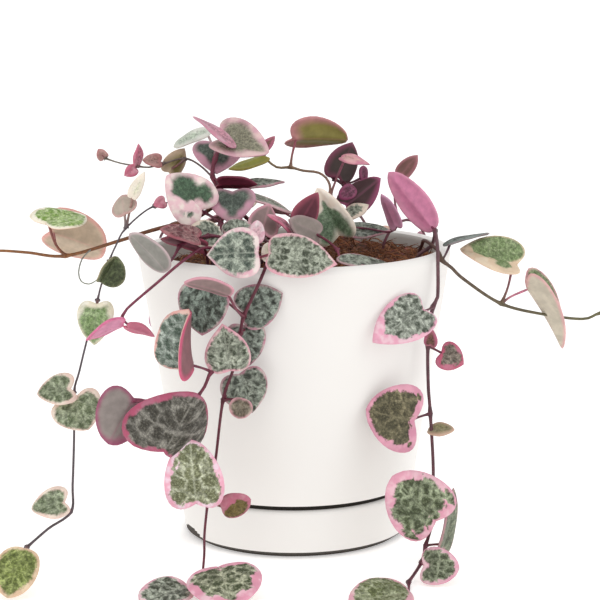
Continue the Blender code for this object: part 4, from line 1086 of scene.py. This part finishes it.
# Left falling stem. It leaves the crown over the rim at the left, drops beside the pot to the table
# and turns outwards there. Its leaves are green with cream margins.
leafy_stem("vine_left_fall", [
    # The stem itself.
    ((0.2, 0.4), ("#6a6068", "#55494f"), [
        (-25, -12, 82), (-27, -13, 96), (-33, -16, 108), (-43, -20, 108.5), (-51.5, -26, 102.5),
        (-54.5, -28, 97.5), (-56.5, -30, 93), (-59, -33, 85.5), (-60, -34, 81.5), (-63.5, -38, 68.5),
        (-65.5, -40, 60.5), (-67, -42, 54.5), (-67, -45, 42), (-67.5, -48, 27.5), (-68, -50, 19.5),
        (-74.5, -54, 15.5), (-80.5, -58, 11)], [
        (4, (-51.5, -27, 106.5), (-52.5, -22, 111.5), (0, 1, 0.5), 8.5, (6, 10), "grey_blush", "oval"),
        (4, (-49.5, -28, 112), (-45.5, -27, 120), (0, -1, 0.3), 4, (12, 10), "cream", "spear"),
        (6, (-58.5, -36, 87), (-53.5, -37, 95), (0.1, -1, 0.2), 11, (80, 5), "deep_green", "oval"),
        (8, (-60, -37, 81), (-61, -42, 69.5), (-0.2, -1, 0.1), 11.5, (8, 6), "lime_soft", "heart"),
        (11, (-67.5, -45, 56.5), (-77.5, -47, 55.5), (0, -1, 0.4), 10.5, (25, 5), "green_cream", "deep"),
        (11, (-67, -45, 53), (-62.5, -48, 44.5), (0, -1, 0.3), 16, (8, 5), "green_cream", "deep"),
        (14, (-69.5, -53, 23.5), (-79.5, -54, 22), (0, -1, 0.5), 10.5, (25, 5), "green_cream", "deep"),
        (16, (-80.5, -64.5, 13), (-84, -76.5, 2.5), (0, -1, 1.1), 13.5, (6, 4), "green_peach", "oval"),
        (3, (-39.5, -24, 110.5), (-43, -25, 109.5), (0, -1, 0.3), 4, (8, 8), "pink", "heart"),
    ]),
    # A fine bare tendril that curls beside it.
    ((0.24, 0.18), ("#8a8a84", "#8f9a84"), [
        (-63.5, -17, 94.5), (-66, -19, 92), (-67, -21, 88), (-66, -23, 85.5), (-63.5, -25, 85),
        (-61, -28, 86.5), (-59, -31, 88.5)], []),
])


# Left short stem. A young shoot over the rim with one pair of leaves, new and still pink all over.
leafy_stem("vine_left_short", [
    ((0.5, 0.4), ("#6a2035", "#8a3a55"), [
        (-19, -27, 82), (-20, -29, 93), (-26.5, -38, 98), (-33, -44, 95), (-40.5, -46, 89),
        (-50, -47, 81), (-51.5, -47, 78)], [
        (6, (-51.5, -48, 77), (-62.5, -52, 74), (0.1, 0.6, 0.9), 10, (10, 8), "pink_lilac", "heart"),
        (6, (-50, -46, 76), (-42, -43, 73), (0, 0.7, 0.9), 6, (10, 8), "pink", "heart"),
    ]),
])


# Front stem. It hangs over the rim at the front left and lies out on the table in front. Dark and
# silver leaves crowd its upper part, and pink-edged hearts grow lower down.
leafy_stem("vine_front", [
    # The stem itself.
    ((0.6, 0.38), ("#5f1c30", "#6a2236"), [
        (-6, -28, 82), (-6, -29, 89), (-6, -34, 96), (-6, -41, 99.5), (-8, -49, 95), (-10.5, -54, 89.5),
        (-15, -55, 80), (-16, -55, 75), (-18, -54.5, 65), (-21.5, -54, 54.5), (-24, -53, 36.5),
        (-26, -54, 27), (-26.5, -55, 23.5), (-27.5, -57, 14.5), (-27.5, -61, 9), (-28, -69, 3)], [
        (6, (-26, -58, 89.5), (-27.5, -61, 75.5), (-0.2, -1, 0.15), 15.7, (8, 6), "dark", "heart"),
        (6, (-18, -65, 88.5), (-31, -69, 94.5), (0, 0.5, 1), 10.5, (10, 8), "mauve", "oval"),
        (6, (-15.5, -51.5, 80.5), (-3.5, -51.5, 86), (0.15, -1, 0.1), 13.5, (4, 6), "dark_silver", "heart"),
        (7, (-19, -60, 64.5), (-21, -63, 78.5), (0, -1, 0), 13.5, (5, 6), "silver_pink", "pointed"),
        (7, (-15, -51, 76.5), (-13.5, -49.5, 63.5), (0.1, -1, 0), 12, (4, 6), "dark_silver", "heart"),
        (9, (-16.5, -52, 62), (-12.5, -51, 49.5), (0.15, -1, 0.1), 14.5, (5, 7), "silver", "heart"),
        (9, (-15.5, -58, 56), (-17, -59, 50), (0, -1, 0.1), 7, (8, 10), "brown", "oval"),
        (12, (-29.5, -62, 25), (-31, -65, 44.5), (0, -1, 0.1), 17.6, (6, 8), "olive_pink", "round"),
        (12, (-22.5, -57, 22), (-14, -60, 25.5), (0, -1, 0.3), 7.5, (20, 8), "olive_band", "oval"),
        (15, (-23, -68, 8), (-18.5, -88, 4), (0, -1, 1.5), 22, (5, 6), "green_pink_wide", "oval"),
        (15, (-31.5, -73, 3.5), (-45, -82, 3), (0, -0.5, 1.9), 15, (6, 8), "dark_pink", "oval"),
    ]),
    # Its side shoot, with the curled leaf.
    ((0.62, 0.45), ("#6a2035", "#7a2c44"), [
        (-16.5, -55, 69.5), (-20.5, -58, 66), (-24.5, -60, 64.5), (-26.5, -62, 60.5), (-28.5, -64, 58)], [
        (2, (-30.5, -62, 65.5), (-31.5, -66, 83.5), (-0.42, -1, 0), 22, (5, 76), "rose_fold", "curled"),
        (4, (-38.5, -67, 42), (-28.5, -71, 59.5), (0, -1, 0.1), 30.5, (4, -58), "brown_pink", "deep"),
        (4, (-47.5, -60, 57), (-55.5, -62, 44), (-0.2, 1, 0.2), 17, (12, 22), "plum", "round"),
    ]),
])


# Right falling stem. The longest one, over the rim at the right and down to the table. Pink-edged
# hearts hang from it on both sides.
leafy_stem("vine_right_fall", [
    ((0.62, 0.5), ("#6a4a50", "#58182c"), [
        (38, -10, 82), (38.5, -10, 90), (43, -12, 94), (44, -14, 97.5), (44, -16.5, 99.5),
        (44, -22, 98), (44, -26.5, 95.5), (44, -28, 91.5), (44, -27.5, 80.5), (42.5, -28, 77.5),
        (41, -29, 65.5), (41, -31, 53.5), (41.5, -33, 45), (42, -40, 27.5), (40.5, -47, 12.5),
        (39, -50, 8), (37.5, -54, 4), (33, -65, 1.5)], [
        (4, (44, -14, 99.5), (31, -6, 117), (0.2, 1, 0.3), 10, (8, 8), "pink_back", "oval"),
        (9, (39, -39.5, 79), (23.5, -48, 71.5), (-0.5, -1, 0.2), 15, (6, 8), "silver_blush", "heart"),
        (10, (41.5, -32, 66), (41.5, -34, 71.5), (-0.3, -1, 0), 4.2, (10, 8), "brown_rose", "heart"),
        (10, (45, -30, 63.5), (52, -31, 60), (0.2, -1, 0.1), 9, (8, 6), "rose", "heart"),
        (12, (36.5, -37, 43.5), (22, -42, 48), (-0.1, -1, 0.1), 21.5, (30, 4), "brown_olive", "round"),
        (12, (40.5, -34, 40), (48.5, -36, 41.5), (0, -0.4, 1), 6.5, (10, 6), "beige_olive", "oval"),
        (14, (42, -52, 16), (29, -53, 30), (-0.1, -1, 0.2), 20.5, (6, 8), "green_pink_even", "round"),
        (15, (44.5, -47, 6), (50, -43, 23.5), (1, -0.42, 0), 13, (8, 6), "olive_under", "heart"),
        (16, (37.5, -61.5, 5.5), (47.5, -65.5, 6), (0, -1, 0.5), 11.5, (6, 8), "green_pink", "round"),
        (17, (32.5, -79, 3.5), (15, -86, 3.5), (0, -0.28, 1), 17.5, (5, 6), "green_pink_olive", "oval"),
    ]),
])


# Right reaching stem. A shoot over the rim at the right that sags and rises again, purple at first
# and olive further out, with two large cream and green leaves at its thick joint.
leafy_stem("vine_right_reach", [
    ((0.6, 0.42), ("#54282e", "#6a6a44"), [
        (38.5, -4, 82), (39.5, -4.5, 90), (40.5, -8, 94), (41, -13, 96), (44.5, -21.5, 94),
        (45.5, -24.5, 91.5), (48.5, -23.5, 89), (53, -20, 84.5), (65, -15, 76), (78.5, -12, 72),
        (91.5, -10, 70), (97.5, -10, 72), (111.5, -9, 74.5)], [
        (5, (47.5, -17, 95.5), (61, -10, 99.5), (-0.25, 0.05, 1), 8, (6, 5), "slate", "spear"),
        (8, (70, -14.5, 88.5), (52.5, -13, 94.5), (0.1, -1, 0.9), 15, (28, 22), "green_cream_fold", "heart"),
        (8, (73.5, -12, 81.5), (87.5, -10, 62), (0.85, 0, 0.45), 16, (64, 50), "cream_pink", "deep"),
        (11, (99, -12, 70), (107, -16, 65.5), (0, -1, 0.4), 10, (10, 8), "green_cream", "heart"),
        (12, (113, -9, 76), (121, -8, 79), (0, -1, 1), 9, (10, 8), "green_pink", "heart"),
        (12, (112.5, -7, 73), (118.5, -4, 67.5), (0.5, -1, 0.3), 7, (10, 8), "green_pink", "oval"),
    ]),
])


# High back stem. A shoot that stands over the crown and bends to the left, with an olive leaf held
# level at its bend.
leafy_stem("vine_back_high", [
    ((0.42, 0.4), ("#7a3048", "#94805e"), [
        (9, 4, 82), (10, 3, 95), (11.5, -2, 109), (11, 0, 113.5), (8, 2, 116), (3, 4, 116.5),
        (-1, 5, 117.5), (-5.5, 6, 117.5), (-9.5, 8, 120.5)], [
        (2, (15, -2, 121.5), (24, -6, 120.5), (0, -0.5, 1), 5, (8, 6), "pink_beige", "spear"),
        (6, (-0.5, 6, 127), (17, 12, 127), (0, 1, 0.6), 16, (35, 5), "olive_rose", "round"),
        (8, (-9, 8, 120.5), (-20.5, 6, 115.5), (0, 0.25, -1), 8, (8, 8), "olive_leaf", "heart"),
        (8, (-10, 7, 123), (-6, 7, 127.5), (0, -1, 0.3), 3.5, (8, 8), "brown_rose", "spear"),
    ]),
])


# Stems at the back. Five that hang over the rim behind, out of the photograph's sight, with leaves
# in pairs. Their routes follow the rule and the seeded draws that the solids follow too, and their
# leaves hang more loosely than the solids' do. A stem has its direction and how low it gets.
SEED = 11
SAG_SEED = SEED + 20
BACK_STEMS = ((34, 64), (62, 26), (91, 2), (120, 40), (148, 62))
BACK_RADII = (0.5, 0.42)
BACK_TINTS = ("#6a2a3a", "#7a5560")
BACK_START = ((35.0, 82.0), (35.3, 89.0), (39.0, 95.0), (45.0, 97.5), (50.5, 95.0))
BACK_HANG = 53.5
BACK_HANG_HEIGHT = 88.0
BACK_TAPER = 1.2
BACK_SWAY = 1.5
BACK_NODE_SPACING = 21.0
SPACING_CHANGE = (0.85, 1.1)
FLOOR_HEIGHT = 8.0
FLOOR_ROUTE = ((2.0, 0.0, 5.0), (8.0, 0.0, 1.2), (26.0, 5.0, 1.2))
BACK_LEAF_LENGTH = (8.5, 10.5)
LEAF_WIDTH_SHARE = (1.0, 1.15)
PAIR_STALK = 3.5
PAIR_FOLDS = (8, 8)
LEAF_OUT = 2.5
LEAF_RISE = (-1.5, 2.5)
LEAF_DROOP = (0.1, 0.7)
LEAF_SAG = (-0.35, 1.0)
LEAF_TWIST = (-0.3, 0.3)
LEAF_GROWTH = (0.72, 1.08)
LEAF_SPREAD = 0.25
LEAF_TURNED_UP = 0.35
FLOOR_LEAF_RISE = 1.5
FLOOR_LEAF_SPREAD = 0.7
FLOOR_LEAF_TURNED_OUT = 0.3
HANGING_STRAIGHT = ((0, -1), (4, 1))
STRAIGHT_ASIDE = 0.1
SHORT_STALK = 1.0
BACK_LOOKS = ("green_pink", "silver_pink", "green_cream", "grey_pink", "silver", "brown_olive_back")


def ways(azimuth):
    """Out from the axis, sideways round it and up, for a direction in degrees from +X."""
    angle = math.radians(azimuth)
    out = Vector((math.cos(angle), math.sin(angle), 0.0))
    return out, Vector((-out.y, out.x, 0.0)), Vector((0.0, 0.0, 1.0))


def back_stem(number, azimuth, lowest):
    """Route and leaves of a stem that trails down the back, with leaves in pairs."""
    draw = random.Random(SEED + number)
    sag = random.Random(SAG_SEED + number)
    out, side, up = ways(azimuth)
    route = [out * reach + up * height for reach, height in BACK_START]
    hang = BACK_HANG + BACK_SWAY * (number % 2)
    height = BACK_HANG_HEIGHT
    sway = 0.0
    places = []
    while height > max(lowest, FLOOR_HEIGHT):
        route.append(out * hang + side * sway + up * height)
        places.append(len(route) - 1)
        height -= BACK_NODE_SPACING * draw.uniform(*SPACING_CHANGE)
        sway += draw.uniform(-BACK_SWAY, BACK_SWAY)
        hang -= BACK_TAPER
    if lowest < FLOOR_HEIGHT:
        for further, aside, above in FLOOR_ROUTE:
            route.append(out * (hang + further) + side * (sway + aside) + up * above)
        places.append(len(route) - 1)
    leaves = []
    for at in places:
        for hand in (-1, 1):
            length = draw.uniform(*BACK_LEAF_LENGTH)
            straight = (number, hand) in HANGING_STRAIGHT
            stalk = SHORT_STALK if straight else PAIR_STALK
            if route[at].z < FLOOR_HEIGHT:
                notch = route[at] + side * hand * stalk + out * LEAF_OUT + up * FLOOR_LEAF_RISE
                way = side * hand + out * FLOOR_LEAF_SPREAD
                facing = out * FLOOR_LEAF_TURNED_OUT + up
            else:
                notch = route[at] + side * hand * stalk + out * LEAF_OUT + up * draw.uniform(*LEAF_RISE)
                droop = draw.uniform(*LEAF_DROOP) + sag.uniform(*LEAF_SAG)
                way = side * hand + out * LEAF_SPREAD - up * droop
                if straight:
                    way = side * hand * STRAIGHT_ASIDE - up
                facing = out + up * LEAF_TURNED_UP + side * sag.uniform(*LEAF_TWIST)
            length *= sag.uniform(*LEAF_GROWTH)
            tip = notch + way.normalized() * length
            width = length * draw.uniform(*LEAF_WIDTH_SHARE)
            look = BACK_LOOKS[(len(leaves) + 2 * number) % len(BACK_LOOKS)]
            leaves.append((at, notch, tip, facing, width, PAIR_FOLDS, look, "heart"))
    return route, leaves


for number, (azimuth, lowest) in enumerate(BACK_STEMS):
    leafy_stem(f"vine_back_{number + 1}", [(BACK_RADII, BACK_TINTS, *back_stem(number, azimuth, lowest))])


# Crown. The tangle of short shoots over the soil, where old and new leaves lie over each other:
# silver at the front, purple undersides at the right and fine young shoots at the left.
CROWN_STEMS = [
    # The main shoot, up and over to the left, with the highest leaves.
    ((0.8, 0.6), ("#6a2035", "#7a2c44"), [
        (-4, 2, 82), (-4, 1.5, 91), (-9, -3, 97), (-18.5, -9, 106.5), (-25.5, -8, 116), (-23, -8, 126)], [
        (3.5, (-16, -4, 112.5), (-3, 0, 115), (0, -0.12, 1), 10, (8, 6), "silver", "heart"),
        (3.5, (-16.5, -16.5, 111.5), (0, -14, 107), (0, -0.15, 1), 10, (8, 6), "silver_rose", "heart"),
        (4, (-23.5, -11, 114.5), (-11.5, -9, 115), (-0.1, 0.75, 1), 8, (8, 6), "burgundy", "heart"),
        (4.5, (-26.5, 3, 130), (-38.5, 1, 126), (-0.2, -0.7, 1), 6, (8, 6), "pale_sage", "oval"),
        (4.5, (-24, -1, 126), (-24, -9, 118), (0, -1, 0.8), 16, (8, 10), "soft_pink_low", "heart"),
        (5, (-22.5, -10, 128.5), (-8, -15, 125), (0, -1, 0.5), 16, (4, 38), "soft_grey", "deep"),
        (5, (-18.5, -17.5, 126.5), (-30, -13, 137), (0.72, -0.3, 0.62), 8, (8, 8), "pink_edge", "spear"),
    ]),
    # A wisp with new leaves that strays to the left.
    ((0.35, 0.25), ("#6a4a50", "#7a7468"), [
        (-22, -8, 111.5), (-28.5, -2, 118), (-34.5, 1, 121), (-41.5, 0, 119.5), (-46, -1, 118.5),
        (-49.5, -2, 119), (-55, -2, 120), (-59.5, -2, 121.5)], [
        (2, (-40, 2, 116.5), (-35, 4, 124), (0, 1, 0.2), 7, (10, 8), "olive_beige", "heart"),
        (3, (-42, -1, 120.5), (-47.5, -3, 121.5), (0, -1, 0.6), 5, (10, 8), "peach", "heart"),
        (5, (-49.5, -3, 119.5), (-48, -4, 126), (1, -0.6, 0), 5, (10, 8), "pink", "heart"),
        (5, (-50, -3, 118.5), (-53.5, -4, 116), (0.5, -1, 0), 4, (10, 8), "pink", "heart"),
        (7, (-60, -2, 121.5), (-62, -2, 124.5), (0, -1, 0), 3.6, (10, 8), "peach", "heart"),
    ]),
    # Over the rim at the front.
    ((0.6, 0.5), ("#5f1c30", "#8a3a55"), [
        (-4, 1.5, 91), (-9, -14, 94), (-13, -26, 96.5), (-13.5, -38, 99.5), (-12, -48, 96)], [
        (3, (-10, -27, 101), (-8, -20, 108), (-0.3, 1, -0.3), 10, (8, 6), "mauve", "heart"),
        (3.5, (-11, -45, 100), (-11, -43, 107), (0, -1, 0.3), 4.5, (8, 6), "pink_white", "oval"),
        (4, (-7.5, -53, 98.5), (12.5, -54.5, 96), (0, -1, 0.55), 14, (6, 8), "silver_pink", "pointed"),
        (4, (-10.5, -52.5, 98.5), (-25.5, -54, 98.5), (0, -1, 0.4), 15.5, (8, 6), "grey_pink", "pointed"),
        (4, (-8, -50, 95.5), (-8, -47, 101), (0, -1, 0.2), 3.5, (8, 8), "cream", "oval"),
    ]),
    # Over the soil at the left, with the pale leaf at its end.
    ((0.5, 0.4), ("#5a2030", "#6a2a40"), [
        (-9, -14, 94), (-20, -20, 98), (-22.5, -24, 103.5), (-27.5, -22, 106.5)], [
        (2, (-19, -19.5, 113), (-19, -27, 104.5), (0, -1, 0.8), 14.5, (8, 6), "soft_pink_low", "heart"),
        (2, (-22, -31.5, 100.5), (-32, -34.5, 102.5), (0, -1, 0.9), 10.5, (8, 6), "silver_cream", "oval"),
        (2, (-21.5, -29, 101), (-13, -31, 104.5), (0, -0.9, 1), 8.5, (8, 6), "silver", "heart"),
        (3, (-28, -27, 108), (-38, -29, 119), (0, -1, 0.6), 16.5, (6, 4), "cream_green", "deep"),
    ]),
    # Under that one, at the front left.
    ((0.5, 0.45), ("#5a2030", "#7a3048"), [
        (-13, -26, 96.5), (-19, -30, 99), (-26, -34, 101), (-34.5, -37, 98.5)], [
        (2, (-28.5, -40.5, 101.5), (-39.5, -43, 105.5), (0, -0.6, 1), 8.5, (8, 6), "rose_mottle", "heart"),
        (2, (-27.5, -34.5, 97.5), (-40, -36, 102), (0.2, 0.75, 1), 9, (10, 8), "burgundy_edge", "heart"),
        (3, (-38, -41, 91.5), (-48, -41, 104), (0.75, 0.75, 0.2), 11, (6, 4), "grey_under", "oval"),
    ]),
    # Up at the right, with purple undersides.
    ((0.6, 0.45), ("#6a2035", "#4a1a2a"), [
        (-4, 1.5, 91), (2, 12, 94.5), (14, 11, 99), (17, 5, 103), (18, 4, 107.5), (16, 5, 112),
        (12.5, 6, 113.5)], [
        (2, (18.5, 8, 96), (31.5, 10, 97.5), (0, -0.35, 1), 11, (6, 8), "silver", "heart"),
        (3, (17, -4, 103), (23.5, -3, 107), (0, -0.5, 1), 7, (8, 6), "silver_cream", "heart"),
        (3.5, (16.5, 0, 105.5), (27.5, 3, 114), (0.2, 1, 0.2), 11, (0, 50), "purple_edge", "heart"),
        (5, (22.5, 8, 112.5), (23, 8, 117.5), (0.5, -1, 0), 3.5, (8, 6), "purple", "oval"),
        (5, (19.5, -4, 112), (14.5, -6, 109), (0, -1, 0.3), 5, (8, 6), "purple", "oval"),
        (6, (14, 6, 114), (18.5, 7, 125.5), (-0.3, 1, 0), 11, (10, 8), "purple_dark", "heart"),
    ]),
    # At the far right.
    ((0.4, 0.35), ("#6a2a3a", "#9a5a70"), [
        (2, 12, 94.5), (20, 10, 97), (31, 4, 96.5), (33.5, 5, 100), (32.5, 6, 107), (33.5, 8, 114.5)], [
        (3, (33, 1, 98.5), (29, 2, 109.5), (0.8, 0.8, 0), 6, (8, 6), "lilac", "heart"),
        (5, (34.5, 8, 114.5), (40, 8, 121), (0, 1, 0), 5.5, (8, 6), "brown_back", "heart"),
    ]),
    # At the middle of the front, with the large cream leaf.
    ((0.45, 0.4), ("#6a2035", "#7a3048"), [
        (-9, -14, 94), (0, -19, 96), (3.5, -22, 100.5), (9.5, -26, 98.5), (13, -34, 96.5)], [
        (1, (-1, -24, 101.5), (-7, -29, 107.5), (0.4, -0.5, 1), 5, (8, 6), "pink", "heart"),
        (2, (14, -16, 98), (7.5, -19, 113), (-0.1, -1, 0.5), 16, (12, 52), "cream_green_tip", "heart"),
        (2, (7.5, -23, 99.5), (-2.5, -27, 104.5), (0, 1, -0.6), 9, (8, 6), "taupe", "heart"),
        (2, (1.5, -21, 102.5), (7.5, -20.5, 112.5), (0.25, 1, 0.35), 8, (8, 6), "burgundy_edge", "spear"),
        (4, (13, -39, 94), (29.5, -33, 93), (0, -0.4, 1), 8, (6, 8), "silver", "oval"),
    ]),
]


# More of the crown. Two shoots over the soil at the back, with leaves by a seeded rule as on the
# stems there, and young bare stems that rise in the thick of the crown and bend over.
CROWN_SHOOTS = (76, 140)
SHOOT_SEED = SEED + 40
SHOOT_FOOT = (-4.0, 2.0, 0.0)
SHOOT_ROUTE = ((0.0, 91.0), (8.0, 94.0), (18.0, 99.0))
SHOOT_LEAVES = ((1, -1, "silver"), (2, -1, "green_cream"), (2, 1, "grey_pink"))
SHOOT_LEAF_LENGTH = (9.0, 11.0)
SHOOT_LEAF_OUT = 2.0
SHOOT_LEAF_RISE = (1.0, 3.0)
SHOOT_LEAF_LEAN = (0.3, 0.9)
SHOOT_LEAF_LIFT = (-0.1, 0.3)
SHOOT_LEAF_TURNED_OUT = 0.5
SHOOT_RADII = (0.5, 0.42)
YOUNG_STEMS = 22
YOUNG_SEED = SEED + 60
YOUNG_X = (-30.0, 12.0)
YOUNG_Y = (-30.0, 14.0)
YOUNG_HEIGHT = (5.0, 13.0)
YOUNG_REACH = (3.0, 9.0)
YOUNG_BEND = (0.3, 0.7)
YOUNG_SINK = 1.0
YOUNG_RADII = (0.6, 0.35)
YOUNG_TINTS = ("#4a1a2a", "#6a2a3a")


def crown_shoot(number, azimuth):
    """Route and leaves of a short shoot over the soil at the back of the crown."""
    draw = random.Random(SHOOT_SEED + number)
    out, side, up = ways(azimuth)
    route = [Vector(SHOOT_FOOT) + out * reach + up * height for reach, height in SHOOT_ROUTE]
    leaves = []
    for at, hand, look in SHOOT_LEAVES:
        length = draw.uniform(*SHOOT_LEAF_LENGTH)
        rise = draw.uniform(*SHOOT_LEAF_RISE)
        notch = route[at] + side * hand * PAIR_STALK + out * SHOOT_LEAF_OUT + up * rise
        way = side * hand + out * draw.uniform(*SHOOT_LEAF_LEAN) + up * draw.uniform(*SHOOT_LEAF_LIFT)
        tip = notch + way.normalized() * length
        width = length * draw.uniform(*LEAF_WIDTH_SHARE)
        facing = out * SHOOT_LEAF_TURNED_OUT + up
        leaves.append((at, notch, tip, facing, width, PAIR_FOLDS, look, "heart"))
    return route, leaves


def young_stem(number):
    """Route of a thin bare stem, steep at first and then bent over."""
    draw = random.Random(YOUNG_SEED + number)
    foot = Vector((draw.uniform(*YOUNG_X), draw.uniform(*YOUNG_Y), 0.0))
    foot.z = soil_height(foot.x, foot.y) - YOUNG_SINK
    heading = draw.uniform(0.0, math.tau)
    way = Vector((math.cos(heading), math.sin(heading), 0.0)) * draw.uniform(*YOUNG_REACH)
    rise = Vector((0.0, 0.0, draw.uniform(*YOUNG_HEIGHT)))
    return [foot, foot + way * YOUNG_BEND[0] + rise * YOUNG_BEND[1], foot + way + rise]


for number in range(YOUNG_STEMS):
    CROWN_STEMS.append((YOUNG_RADII, YOUNG_TINTS, young_stem(number), []))
for number, azimuth in enumerate(CROWN_SHOOTS):
    CROWN_STEMS.append((SHOOT_RADII, BACK_TINTS, *crown_shoot(number, azimuth)))
leafy_stem("crown", CROWN_STEMS)
